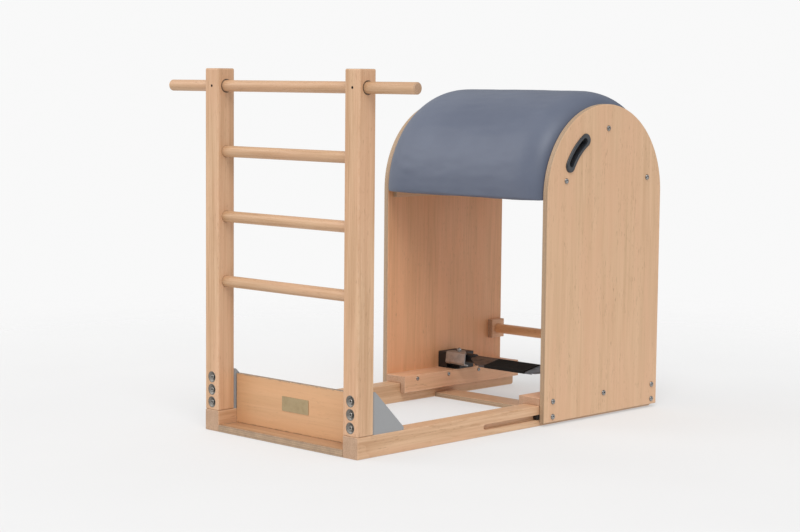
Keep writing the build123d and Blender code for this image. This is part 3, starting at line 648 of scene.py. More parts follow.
@dataclass(frozen=True)
class WoodFinish:
    """Clear satin lacquer over wood, with the figure along the grain and a darker end grain.

    Attributes:
        tone: Colours of the wood.
        grain: Direction of the fibres.
        figure: Strength of the grain's contrast.
        flecks: Share of dark flecks.
        ring_width: Distance between growth rings.
        edge: Colour that shows along the edges: paler wear where they are rubbed, and on soiled pieces dirt with
            painted shade at the joints.
        edge_share: Strength of that colour.
        edge_width: How far it reaches in from the edges.
        holes: Holes with painted shade round the rim.
        dark_rim: Share of a hole's border that takes the painted shade at full strength.
    """

    tone: WoodTone
    grain: Grain
    figure: float = 0.9
    flecks: float = 0.45
    ring_width: float = 0.0042
    edge: Color = RUBBED_EDGE
    edge_share: float = 0.35
    edge_width: float = 0.006
    holes: tuple[Hole, ...] = ()
    dark_rim: float = 0.4

    def hole_shadow(self, sketch: Sketch, place: Socket, hole: Hole) -> Socket:
        """Mask of the painted shade round a hole: 1 at the rim, falling to 0 over the border.

        Args:
            sketch: Sketch of the material's tree.
            place: Object coordinates.
            hole: The hole.

        Returns:
            The mask.
        """
        sides = {Grain.ALONG_X: (0, 1, 1), Grain.ALONG_Y: (1, 0, 1)}[hole.axis]
        away = sketch.stretched(sketch.vector("SUBTRACT", place, hole.centre).outputs[0], sides)
        distance = sketch.vector("LENGTH", away).outputs["Value"]
        dark_radius, clean_radius = hole.radius + self.dark_rim * hole.border, hole.radius + hole.border
        near = sketch.math("SUBTRACT", 1.0, sketch.ramp(distance, dark_radius, clean_radius))
        along = sketch.node("ShaderNodeSeparateXYZ", {0: place}).outputs[hole.axis.value]
        if hole.axis is not Grain.ALONG_X:
            along = sketch.math("ABSOLUTE", along)
        reached = sketch.math("LESS_THAN", along, hole.reach)
        return sketch.math("MULTIPLY", sketch.math("MULTIPLY", near, reached), hole.share)

    def end_share(self, sketch: Sketch) -> Socket:
        """1 where the surface faces along the fibres, 0 on the long sides."""
        return sketch.ramp(sketch.facing(self.grain.value), 0.55, 0.85)

    def material(self, effects: Effects, node: str, seed: int) -> Material:
        """Makes the finish for one piece.

        Args:
            effects: The shared groups.
            node: Node that it is for, whose box gives the worn edges.
            seed: Number that sets this piece's own figure.

        Returns:
            The new material.
        """
        made, sketch, shader = new_material("wood_" + node)
        low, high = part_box(node)
        spread = np.random.default_rng(seed).uniform(-1, 1, 3)
        shift = (0.07 + 0.05 * spread[0], 0.06 * spread[1], 3 * spread[2])
        place = sketch.object_place()
        from_pith = sketch.vector("ADD", sketch.along_z(place, self.grain), shift).outputs[0]
        values = {"Place": from_pith, "Light": self.tone.light, "Dark": self.tone.dark, "Warm": self.tone.warm}
        values |= {"Ring Width": self.ring_width, "Figure": self.figure, "Flecks": self.flecks}
        figure = effects.place(sketch, effects.figure, values)
        box = {"Place": place, "Centre": (low + high) / 2, "Half Size": (high - low) / 2, "Width": self.edge_width}
        arris = effects.place(sketch, effects.arris, box)
        marks = effects.place(sketch, effects.handling, {"Place": place, "Size": 0.12})
        ends = self.end_share(sketch)
        # The edge colour: paler wear on rubbed edges; on the soiled pieces dirt together with painted shade along the
        # joints.
        worn = sketch.math("MULTIPLY", arris.outputs["Mask"], self.edge_share)
        color = sketch.blend(worn, figure.outputs["Color"], self.edge)
        pores = sketch.noise(place, 420.0, 3.0, 0.6)
        end_color = sketch.blend(sketch.ramp(pores, 0.42, 0.66), END_GRAIN_PALE, END_GRAIN_DARK)
        end_color = sketch.blend(0.35, end_color, figure.outputs["Color"])
        color = sketch.blend(ends, color, end_color)
        # Painted shade round the holes: the colour darkens towards each hole's rim.
        for hole in self.holes:
            color = sketch.blend(self.hole_shadow(sketch, place, hole), color, RIM_PAINTED_SHADE)
        rough = sketch.math("MULTIPLY_ADD", figure.outputs["Gloss"], 0.12, 0.36)
        rough = sketch.math("MULTIPLY_ADD", marks.outputs["Mask"], 0.10, rough)
        rough = sketch.math("MULTIPLY_ADD", ends, 0.12, rough)
        sketch.feed(shader, {"Base Color": color, "Roughness": rough})
        raise_surface(sketch, shader, figure.outputs["Height"], 0.25, 0.0002)
        return made


@dataclass(frozen=True)
class PlyFinish:
    """Lacquered plywood: a veneer on its faces and its layers along its edges.

    Attributes:
        veneer: The face veneer.
        across: Axis letter of the board's thickness.
        ply: Thickness of one layer.
        soil: Share of dirt on the edges.
    """

    veneer: WoodFinish
    across: str
    ply: float = 0.0017
    soil: float = 0.0

    def material(self, effects: Effects, node: str, seed: int) -> Material:
        """Makes the finish for one board, as the veneer with its edge layers laid over it.

        Args:
            effects: The shared groups.
            node: Node that it is for.
            seed: Number that sets this board's own figure.

        Returns:
            The new material.
        """
        made = self.veneer.material(effects, node, seed)
        sketch = Sketch(made.node_tree)
        shader = next(n for n in made.node_tree.nodes if n.type == "BSDF_PRINCIPLED")
        face = shader.inputs["Base Color"].links[0].from_socket
        place = sketch.object_place()
        low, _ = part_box(node)
        through = sketch.node("ShaderNodeSeparateXYZ", {0: place}).outputs[self.across]
        depth = sketch.math("SUBTRACT", through, low["XYZ".index(self.across)])
        layers = effects.place(sketch, effects.plies, {"Place": place, "Depth": depth, "Ply": self.ply})
        edge = sketch.math("SUBTRACT", 1.0, sketch.ramp(sketch.facing(self.across), 0.55, 0.9))
        color = layers.outputs["Color"]
        if self.soil:
            dirt = sketch.ramp(sketch.noise(place, 38.0, 5.0, 0.65), 0.35, 0.65)
            color = sketch.blend(sketch.math("MULTIPLY", dirt, self.soil), color, EDGE_DIRT)
        color = sketch.blend(edge, face, color)
        sketch.feed(shader, {"Base Color": color})
        return made


@dataclass(frozen=True)
class VinylFinish:
    """Soft blue-grey vinyl with a fine pressed grain and a satin sheen.

    Attributes:
        color: Colour of most of the cover.
        worn: Colour of its paler patches.
        handled: Colour of the handling marks.
        cells: Fineness of the pressed grain, per metre.
        roughness: Roughness between the marks.
        specular: Strength of the sheen.
    """

    color: Color = (0.090, 0.108, 0.158, 1)
    worn: Color = (0.111, 0.131, 0.184, 1)
    handled: Color = (0.19, 0.205, 0.245, 1)
    cells: float = 900.0
    roughness: float = 0.41
    specular: float = 0.42

    def material(self, effects: Effects) -> Material:
        """Makes the finish: a pressed grain of small cells, faint patches and handling marks.

        Args:
            effects: The shared groups.

        Returns:
            The new material.
        """
        made, sketch, shader = new_material("vinyl_cover")
        place = sketch.object_place()
        pressed = {"Vector": place, "Scale": self.cells, "Randomness": 0.9}
        cells = sketch.node("ShaderNodeTexVoronoi", pressed, feature="SMOOTH_F1")
        soft = sketch.noise(place, 260.0, 3.0, 0.55)
        broad = sketch.noise(place, 5.0, 3.0, 0.5)
        marks = effects.place(sketch, effects.handling, {"Place": place, "Size": 0.18})
        color = sketch.blend(sketch.ramp(broad, 0.3, 0.7), self.color, self.worn)
        color = sketch.blend(sketch.math("MULTIPLY", marks.outputs["Mask"], 0.10), color, self.handled)
        rough = sketch.math("MULTIPLY_ADD", marks.outputs["Mask"], 0.08, self.roughness)
        height = sketch.math("MULTIPLY_ADD", cells.outputs["Distance"], 0.6, sketch.math("MULTIPLY", soft, 0.4))
        sketch.feed(shader, {"Base Color": color, "Roughness": rough})
        shader.inputs["Specular IOR Level"].default_value = self.specular
        raise_surface(sketch, shader, height, 0.22, 0.00025)
        return made


@dataclass(frozen=True)
class PaintFinish:
    """Powder coat or moulded plastic: a fine orange-peel surface with paler specks.

    Attributes:
        name: Name of the material.
        color: Colour of the coat.
        speck: Colour of its specks and marks.
        roughness: Roughness between the marks.
        peel: Fineness of the orange peel, per metre.
        specular: Strength of the sheen.
    """

    name: str
    color: Color
    speck: Color
    roughness: float
    peel: float
    specular: float = 0.5

    def material(self, effects: Effects) -> Material:
        """Makes the finish from two noises, one for the peel and one for its specks.

        Args:
            effects: The shared groups.

        Returns:
            The new material.
        """
        made, sketch, shader = new_material(self.name)
        place = sketch.object_place()
        peel = sketch.noise(place, self.peel, 2.0, 0.5)
        specks = sketch.ramp(sketch.noise(place, self.peel * 2.3, 1.0), 0.62, 0.7)
        marks = effects.place(sketch, effects.handling, {"Place": place, "Size": 0.05})
        color = sketch.blend(sketch.math("MULTIPLY", specks, 0.35), self.color, self.speck)
        color = sketch.blend(sketch.math("MULTIPLY", marks.outputs["Mask"], 0.15), color, self.speck)
        rough = sketch.math("MULTIPLY_ADD", marks.outputs["Mask"], 0.12, self.roughness)
        sketch.feed(shader, {"Base Color": color, "Roughness": rough})
        shader.inputs["Specular IOR Level"].default_value = self.specular
        raise_surface(sketch, shader, peel, 0.3, 0.00025)
        return made


@dataclass(frozen=True)
class MetalFinish:
    """Bare or plated metal with brushed lines and fine scratches.

    Attributes:
        name: Name of the material.
        color: Colour of the metal.
        stain: Colour of its stains.
        roughness: Roughness between the marks.
        lines_along: Direction of the brushed lines.
        relief: Strength of their relief.
    """

    name: str
    color: Color
    stain: Color
    roughness: float
    lines_along: Grain = Grain.ALONG_Y
    relief: float = 0.25

    def material(self, effects: Effects) -> Material:
        """Makes the finish: brushed lines in the relief, stains in the colour and scratches in the gloss.

        Args:
            effects: The shared groups.

        Returns:
            The new material.
        """
        made, sketch, shader = new_material(self.name)
        place = sketch.object_place()
        brushing = effects.place(sketch, effects.brushing, {"Place": sketch.along_z(place, self.lines_along)})
        marks = effects.place(sketch, effects.handling, {"Place": place, "Size": 0.02})
        color = sketch.blend(sketch.math("MULTIPLY", marks.outputs["Mask"], 0.5), self.color, self.stain)
        rough = sketch.math("MULTIPLY_ADD", marks.outputs["Mask"], 0.15, self.roughness)
        rough = sketch.math("MULTIPLY_ADD", brushing.outputs["Scratches"], 0.12, rough)
        sketch.feed(shader, {"Base Color": color, "Roughness": rough})
        shader.inputs["Metallic"].default_value = 1.0
        raise_surface(sketch, shader, brushing.outputs["Height"], self.relief, 0.00008)
        return made


GUSSET_GREY = PaintFinish("grey_powder_coat", (0.30, 0.305, 0.312, 1), (0.375, 0.385, 0.395, 1), 0.46, 900.0)
BLACK_MOULDING = PaintFinish("black_moulding", (0.011, 0.011, 0.012, 1), (0.026, 0.026, 0.028, 1), 0.42, 1400.0)
GRIP_MOULDING = PaintFinish("grip_moulding", (0.031, 0.035, 0.042, 1), (0.052, 0.056, 0.063, 1), 0.30, 1400.0)
BLACK_RUBBER = PaintFinish("black_rubber", (0.007, 0.0065, 0.006, 1), (0.016, 0.015, 0.014, 1), 0.7, 1800.0, 0.18)
ZINC_PLATE = MetalFinish("zinc_plate", (0.33, 0.325, 0.32, 1), (0.20, 0.19, 0.18, 1), 0.14)
BOLT_NICKEL = MetalFinish("bolt_nickel", (0.30, 0.285, 0.265, 1), (0.16, 0.15, 0.14, 1), 0.26)
WASHER_NICKEL = MetalFinish("washer_nickel", (0.235, 0.22, 0.20, 1), (0.12, 0.11, 0.10, 1), 0.38)
BLACK_OXIDE = MetalFinish("black_oxide", (0.03, 0.03, 0.032, 1), (0.06, 0.055, 0.05, 1), 0.4)
PLATE_BRASS = MetalFinish("plate_brass", (0.44, 0.345, 0.205, 1), (0.37, 0.285, 0.165, 1), 0.42)
SHEET_STEEL = MetalFinish("sheet_steel", (0.47, 0.465, 0.46, 1), (0.24, 0.235, 0.23, 1), 0.48)
PEDAL_STEEL = MetalFinish("pedal_steel", (0.15, 0.155, 0.17, 1), (0.05, 0.053, 0.06, 1), 0.36)
SHAFT_STEEL = MetalFinish("shaft_steel", (0.22, 0.22, 0.22, 1), (0.12, 0.12, 0.12, 1), 0.35)


# Sub-assemblies


def take_over(piece: Piece, body: str, slot: str, *nodes: str) -> None:
    """Lets a new piece ride on a body and stand for its nodes.

    Args:
        piece: The new piece.
        body: Body that it moves with.
        slot: Its material slot; not used.
        nodes: Nodes that it replaces.
    """
    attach(piece, body)
    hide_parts(*nodes)
    log.info("%s replaces %s on %s", piece.name, ", ".join(nodes), body)


Facing = Callable[[np.ndarray], float]


@dataclass(frozen=True)
class Head:
    """Height of a screw's head and diameter of its shank."""

    height: float
    shank: float


def to_its_side(middle: np.ndarray) -> float:
    """+1 for a screw on the left, -1 for one on the right: its head faces away from the middle of the object."""
    return math.copysign(1, middle[1])


def to_the_middle(middle: np.ndarray) -> float:
    """The other way round: its head faces the middle of the object."""
    return -to_its_side(middle)


def to_the_front(middle: np.ndarray) -> float:
    """Every head faces -X."""
    return -1


def upwards(middle: np.ndarray) -> float:
    """Every head faces +Z."""
    return 1


@dataclass
class Fasteners:
    """The screws, bolts and nuts, turned with their sockets, chamfers and threads.

    Attributes:
        panel_head: Button heads on the side panels.
        strip_head: Heads on the inner strips.
        gusset_head: Heads in the gussets.
        bolt_head: Heads of the bolts through the posts.
        nut_bore: Bore of the nuts on those bolts.
        stud: Diameter of the studs on the brackets.
        stud_washer: Thickness of their washers.
        stud_nut_width: Width of their nuts across the flats.
        stud_nut_height: Height of their nuts.
        socket_share: Width of a head's hexagon socket as a share of the head.
        socket_depth_share: Depth of the socket as a share of the head's height.
        thread_pitch: Pitch of the threads that show.
        thread_depth: Depth of those threads.
        bore_sink: Width of the countersink at both ends of a nut's bore.
        thread_play: Gap between a stud's crests and its washer and nut.
        washer_rounding: Rounding of the bracket washers' rims.
    """

    panel_head: Head = Head(4 * MM, 5 * MM)
    strip_head: Head = Head(3 * MM, 4.5 * MM)
    gusset_head: Head = Head(3.5 * MM, 6 * MM)
    bolt_head: Head = Head(4.5 * MM, 8 * MM)
    nut_bore: float = 8.2 * MM
    stud: float = 8 * MM
    stud_washer: float = 1.5 * MM
    stud_nut_width: float = 13 * MM
    stud_nut_height: float = 6.5 * MM
    socket_share: float = 0.42
    socket_depth_share: float = 0.62
    thread_pitch: float = 1.1 * MM
    thread_depth: float = 0.5 * MM
    bore_sink: float = 0.6 * MM
    thread_play: float = 0.05 * MM
    washer_rounding: float = 0.3 * MM

    def domed_head(self, radius: float, height: float, shank_radius: float, length: float) -> np.ndarray:
        """A button head on its shank: a quarter ellipse from the rim to a flat, then the hexagon socket.

        Args:
            radius: Radius of the head.
            height: Height of the head above its seat.
            shank_radius: Radius of the shank.
            length: Length of the shank below the seat.

        Returns:
            Grid of points with the seat at height 0.
        """
        sweep = np.linspace(0, math.pi / 2, 7)
        dome_radius, dome_height = radius * (0.55 + 0.45 * np.cos(sweep)), height * (0.25 + 0.75 * np.sin(sweep))
        dome = np.stack([dome_radius, dome_height, 0 * sweep], axis=1)
        socket = radius * self.socket_share
        floor = height * (1 - self.socket_depth_share)
        below = [(0, -length, 0), (0.5 * shank_radius, -length, 0), (shank_radius, -length + shank_radius, 0)]
        below += [(shank_radius, 0, 0), (radius * 0.97, 0, 0), (radius, height * 0.08, 0)]
        inside = [(socket * 1.22, height, 0), (socket, height * 0.94, 1), (socket, floor, 1)]
        inside += [(0, floor - 0.1 * height, 0)]
        return turned(np.concatenate([np.array(below), dome, np.array(inside)]))

    def flat_head(self, radius: float, height: float, shank_radius: float, length: float) -> np.ndarray:
        """A cylinder head on its shank: a profile with a chamfered rim, then the hexagon socket.

        Args:
            radius: Radius of the head.
            height: Height of the head above its seat.
            shank_radius: Radius of the shank.
            length: Length of the shank below the seat.

        Returns:
            Grid of points with the seat at height 0.
        """
        socket = radius * self.socket_share
        floor = height * (1 - self.socket_depth_share)
        rows = [(0, -length, 0), (shank_radius * 0.8, -length, 0), (shank_radius, -length + 0.2 * shank_radius, 0)]
        rows += [(shank_radius, 0, 0), (radius, 0, 0), (radius, height * 0.8, 0), (radius * 0.88, height, 0)]
        rows += [(socket * 1.2, height, 0), (socket, height * 0.95, 1), (socket, floor, 1)]
        rows += [(0, floor - 0.08 * height, 0)]
        return turned(np.array(rows))

    def nut(self, half_width: float, height: float, bore_radius: float) -> np.ndarray:
        """A hexagon nut: the hexagon cut by a cone at both ends, with a countersunk bore.

        Args:
            half_width: Half its width across the flats.
            height: Its height.
            bore_radius: Radius of its bore.

        Returns:
            Grid of points with the lower face at height 0.
        """
        corner = half_width / math.cos(math.pi / 6)
        sunk = bore_radius + self.bore_sink
        heights = np.array([0, 0, 0.12, 0.88, 1, 1]) * height
        limits = np.array([half_width * 0.97, half_width * 1.01, corner, corner, half_width * 1.01, half_width * 0.97])
        outer = np.stack([np.full(6, half_width), heights, np.ones(6)], axis=1)
        bore = [(sunk, height, 0), (bore_radius, height - self.bore_sink, 0)]
        bore += [(bore_radius, self.bore_sink, 0), (sunk, 0, 0)]
        rows = np.concatenate([outer, np.array(bore), outer[:1]])
        caps = np.concatenate([limits, np.full(4, corner), limits[:1]])
        return turned(rows, caps)

    def threaded_end(self, radius: float, bottom: float, top: float) -> np.ndarray:
        """A threaded rod.

        The radius drops by a triangle wave of the height over the pitch less the turn, and it narrows at the tip.

        Args:
            radius: Radius over the crests.
            bottom: Height of the lower end.
            top: Height of the tip.

        Returns:
            Grid of points, closed at both ends.
        """
        angles = ring_angles()
        heights = np.linspace(bottom, top, max(int((top - bottom) / self.thread_pitch * 8), 12))
        phase = np.mod(heights[:, None] / self.thread_pitch - angles[None, :] / (2 * math.pi), 1.0)
        fade = np.clip((top - heights[:, None]) / self.thread_pitch, 0, 1)
        reach = radius - self.thread_depth * (1 - np.abs(2 * phase - 1)) - 0.12 * radius * (1 - fade)
        height = np.broadcast_to(heights[:, None], reach.shape)
        grid = np.stack([reach * np.cos(angles), reach * np.sin(angles), height], axis=-1)
        tip = np.broadcast_to(np.array([0, 0, top]), (1, len(angles), 3))
        foot = np.broadcast_to(np.array([0, 0, bottom]), (1, len(angles), 3))
        return np.concatenate([foot, grid, tip])

    def screw_group(self, node: str, axis: int, facing: Facing, head: Head, domed: bool) -> Piece:
        """Turns every screw of a node in its place.

        Args:
            node: Node with the group of screws.
            axis: Number of the axis that the screws lie along.
            facing: Function from a screw's middle to +1 or -1, the side of its head.
            head: Height of the heads and diameter of the shanks.
            domed: Whether the heads are domed or flat.

        Returns:
            The new piece.
        """
        surface = Surface(node + "_turned")
        across = (axis + 1) % 3
        shape = self.domed_head if domed else self.flat_head
        for low, high in solids_of(node):
            middle = (low + high) / 2
            side = facing(middle)
            outward = np.zeros(3)
            outward[axis] = side
            seat = middle.copy()
            seat[axis] = (high[axis] if side > 0 else low[axis]) - side * head.height
            radius = (high[across] - low[across]) / 2
            length = high[axis] - low[axis] - head.height
            surface.add(placed(shape(radius, head.height, head.shank / 2, length), seat, outward), closed=True)
        return surface.build()

    def nut_group(self, node: str, outward: Triple, axis: int, bore: float) -> Piece:
        """Turns every nut of a node in its place.

        Args:
            node: Node with the group of nuts.
            outward: Direction in which the nuts' height is measured.
            axis: Number of the axis that they lie along.
            bore: Diameter of their bores.

        Returns:
            The new piece.
        """
        surface = Surface(node + "_turned")
        for low, high in solids_of(node):
            seat = (low + high) / 2
            seat[axis] = low[axis]
            width = min(np.delete(high - low, axis))
            nut = self.nut(width / 2, high[axis] - low[axis], bore / 2)
            surface.add(placed(nut, seat, np.array(outward)), closed=True)
        return surface.build()

    def bracket_studs(self) -> Piece:
        """Turns the washer, nut and threaded stud on each bracket.

        Returns:
            The new piece.
        """
        node = "bracket_bolts"
        washer, radius_in = self.stud_washer, self.stud / 2
        _, bracket_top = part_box("lock_bracket_left")
        surface = Surface(node + "_turned")
        for low, high in solids_of(node):
            centre = (low + high) / 2
            seat = np.array([centre[0], centre[1], bracket_top[2]])
            radius = (high[0] - low[0]) / 2
            rounding = self.washer_rounding
            rows = [(radius_in, 0, 0), (radius - rounding, 0, 0), (radius, rounding, 0), (radius, washer - rounding, 0)]
            rows += [(radius - rounding, washer, 0), (radius_in, washer, 0), (radius_in, 0, 0)]
            surface.add(turned(np.array(rows)) + seat, closed=True)
            nut = self.nut(self.stud_nut_width / 2, self.stud_nut_height, radius_in)
            surface.add(nut + seat + np.array([0, 0, washer]), closed=True)
            rod = self.threaded_end(radius_in - self.thread_play, low[2] - seat[2], high[2] - seat[2])
            surface.add(rod + seat, closed=True)
        return surface.build()

    def build(self, effects: Effects) -> None:
        """Makes, dresses and mounts every group of fasteners.

        Args:
            effects: The shared groups.
        """
        zinc, nickel = ZINC_PLATE.material(effects), BOLT_NICKEL.material(effects)
        screws = (
            ("panel_screws", 1, to_its_side, self.panel_head, True, "barrel", zinc),
            ("strip_screws", 1, to_the_middle, self.strip_head, True, "barrel", zinc),
            ("gusset_screws", 2, upwards, self.gusset_head, True, "ladder_base", zinc),
            ("upright_bolts", 0, to_the_front, self.bolt_head, False, "ladder_base", nickel),
        )
        groups = [
            (self.screw_group(node, axis, facing, head, domed), body, node, finish)
            for node, axis, facing, head, domed, body, finish in screws
        ]
        nuts = self.nut_group("upright_nuts", (1, 0, 0), 0, self.nut_bore)
        groups += [
            (nuts, "ladder_base", "upright_nuts", nickel),
            (self.bracket_studs(), "barrel", "bracket_bolts", zinc),
        ]
        for piece, body, node, finish in groups:
            dress(piece, finish)
            take_over(piece, body, "bright_fasteners", node)
        dress(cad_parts["cup_washers"], WASHER_NICKEL.material(effects))
        dress(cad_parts["bar_set_screws"], BLACK_OXIDE.material(effects))


@dataclass
class PaddedCover:
    """The vinyl cover over foam on the drum: a crowned section carried round the drum and inflated as cloth.

    Attributes:
        rise: How far the crown stands proud of the solid that it replaces.
        crown_drop: Fall of the crown from its middle to its shoulders.
        shoulder: Width of the rounded shoulder at each side.
        end_drop: Fall from the shoulder to the side's lower edge.
        thickness: Depth of the padding at the crown.
        lower_turn: Angle by which the cover goes on below the drum's centre, at each end.
        roll: Radius of the rolled lower edges.
        slack: How much smaller the section starts, before it is inflated.
        pressure: Pressure inside the cover.
        most_move: Most that a point may move while it is inflated.
        mass: Mass of a vertex of the cloth.
        stretch: Its stiffness against stretch and squeeze.
        bending: Its stiffness against bending.
        steps: Number of frames for which it is inflated.
        across_points: Number of points across the cover.
        round_points: Number of points round the drum between the rolled edges.
        closing_points: Number of points from a lower edge to the middle of the thickness.
    """

    rise: float = 0.0035
    crown_drop: float = 0.003
    shoulder: float = 0.085
    end_drop: float = 0.049
    thickness: float = 0.0504
    lower_turn: float = math.radians(1.64)
    roll: float = 0.010
    slack: float = 0.001
    pressure: float = 1.5
    most_move: float = 0.0015
    mass: float = 0.4
    stretch: float = 30.0
    bending: float = 40.0
    steps: int = 20
    across_points: int = 61
    round_points: int = 121
    closing_points: int = 5

    def __post_init__(self) -> None:
        """Takes the cover's place and reach from its node."""
        low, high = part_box("barrel_pad")
        solid_radius = (high.x - low.x) / 2
        self.centre = np.array([(low.x + high.x) / 2, 0.0, high.z - solid_radius])
        self.radius = solid_radius + self.rise
        self.thickness += self.rise
        self.half_width = high.y

    def outer_radius(self, y: np.ndarray) -> np.ndarray:
        """Radius of the cover at a place across it.

        Inside the shoulders it falls with the square of y. In a shoulder it also falls as a quarter ellipse, from
        level at its start to upright at the side.

        Args:
            y: Places across the cover.

        Returns:
            The radius at each place.
        """
        away = np.abs(y)
        flat_half = self.half_width - self.shoulder
        crown = self.crown_drop * (away / self.half_width) ** 2
        turn = np.clip((away - flat_half) / self.shoulder, 0, 1)
        side = self.end_drop * (1 - np.sqrt(1 - turn**2))
        return self.radius - self.slack * (1 - (away / self.half_width) ** 8) - crown - side

    def across(self) -> np.ndarray:
        """Places across the cover, closer together towards its sides: the sine of an even sweep."""
        sweep = np.linspace(-1, 1, self.across_points)
        return self.half_width * np.sin(sweep * math.pi / 2)

    def grid(self) -> np.ndarray:
        """The closed section carried round the drum.

        Each row is the outer line and the inner line of the section. Near both ends the outer line draws in
        along a circle of the roll's radius, and past them it closes onto the middle of the thickness.

        Returns:
            Points as an array of rows, columns and three coordinates, closed round each row.
        """
        y = self.across()
        inner = self.radius - self.thickness
        start, stop = -self.lower_turn, math.pi + self.lower_turn
        roll_turn = self.roll / self.radius
        easing = roll_turn * (1 - np.cos(np.linspace(0, math.pi / 2, 7)))
        middle = np.linspace(start + roll_turn, stop - roll_turn, self.round_points)[1:-1]
        angles = np.concatenate([start + easing, middle, (stop - easing)[::-1]])
        into_roll = np.maximum(self.roll - np.minimum(angles - start, stop - angles) * self.radius, 0)
        inset = self.roll - np.sqrt(np.maximum(self.roll**2 - into_roll**2, 0))
        fullness = np.clip((self.outer_radius(y) - inner) / self.thickness, 0.2, 1)
        outer = self.outer_radius(y)[None, :] - inset[:, None] * fullness
        count = self.closing_points
        closing = np.linspace(0, 1, count + 1)[1:, None]
        first, last = outer[:1], outer[-1:]
        mean = (inner + first) / 2
        head, tail = first + (mean - first) * closing, last + (mean - last) * closing
        outer = np.concatenate([head[::-1], outer, tail])
        inner_rows = np.full_like(outer, inner)
        inner_rows[:count] = (inner + (mean - inner) * closing)[::-1]
        inner_rows[-count:] = inner + (mean - inner) * closing
        turns = np.concatenate([np.full(count, start), angles, np.full(count, stop)])
        radii = np.concatenate([outer, inner_rows[:, ::-1]], axis=1)
        widths = np.concatenate([y, y[::-1]])
        x = self.centre[0] - radii * np.cos(turns)[:, None]
        z = self.centre[2] + radii * np.sin(turns)[:, None]
        return np.stack([x, np.broadcast_to(widths, x.shape), z], axis=-1)

    def pin_weights(self, points: np.ndarray) -> np.ndarray:
        """How firmly each point is held: 1 at the underside and side edges, falling to 0 on the crown.

        Args:
            points: Places of the cover's points.

        Returns:
            One weight per point.
        """
        from_axis = np.hypot(points[:, 0] - self.centre[0], points[:, 2] - self.centre[2])
        depth = from_axis - (self.radius - self.thickness)
        below = np.clip(1 - (depth - 4 * MM) / (6 * MM), 0, 1)
        beside = np.clip((np.abs(points[:, 1]) - self.half_width + 4 * MM) / (3 * MM), 0, 1)
        return np.maximum(below, beside)

    def inflate(self, piece: Piece) -> None:
        """Runs the cloth under pressure and keeps its shape, with each point's move capped.

        Args:
            piece: The cover, whose mesh is changed.
        """
        mesh = piece.data
        start = points_of(mesh)
        group = piece.vertex_groups.new(name="held")
        weights = self.pin_weights(start)
        for level in np.unique(np.round(weights, 2)):
            group.add(np.flatnonzero(np.round(weights, 2) == level).tolist(), float(level), "REPLACE")
        cloth = piece.modifiers.new("inflate", "CLOTH")
        settings = cloth.settings
        settings.quality = 5
        settings.mass = self.mass
        settings.tension_stiffness = settings.compression_stiffness = self.stretch
        settings.bending_stiffness = self.bending
        settings.use_pressure = True
        settings.uniform_pressure_force = self.pressure
        settings.vertex_group_mass = group.name
        settings.effector_weights.gravity = 0
        scene = bpy.context.scene
        for step in range(1, self.steps + 1):
            scene.frame_set(step)
        evaluated = piece.evaluated_get(bpy.context.evaluated_depsgraph_get())
        move = points_of(evaluated.to_mesh()) - start
        evaluated.to_mesh_clear()
        length = np.linalg.norm(move, axis=1, keepdims=True)
        move *= np.minimum(1, self.most_move / np.maximum(length, 1e-9))
        piece.modifiers.remove(cloth)
        scene.frame_set(1)
        shape = start + move
        shape[:, 1] = np.clip(shape[:, 1], -self.half_width, self.half_width)
        mesh.vertices.foreach_set("co", shape.ravel())
        mesh.update()
        log.info("cover inflated, largest move %.1f mm", float(length.max()) / MM)

    def build(self, effects: Effects) -> None:
        """Makes, inflates, dresses and mounts the cover.

        Args:
            effects: The shared groups.
        """
        surface = Surface("padded_cover")
        surface.add(self.grid(), closed=True)
        piece = surface.build(smooth_angle=60)
        self.inflate(piece)
        finer = piece.modifiers.new("finer", "SUBSURF")
        finer.levels = finer.render_levels = 1
        dress(piece, VinylFinish().material(effects))
        take_over(piece, "barrel", "vinyl_pad", "barrel_pad")


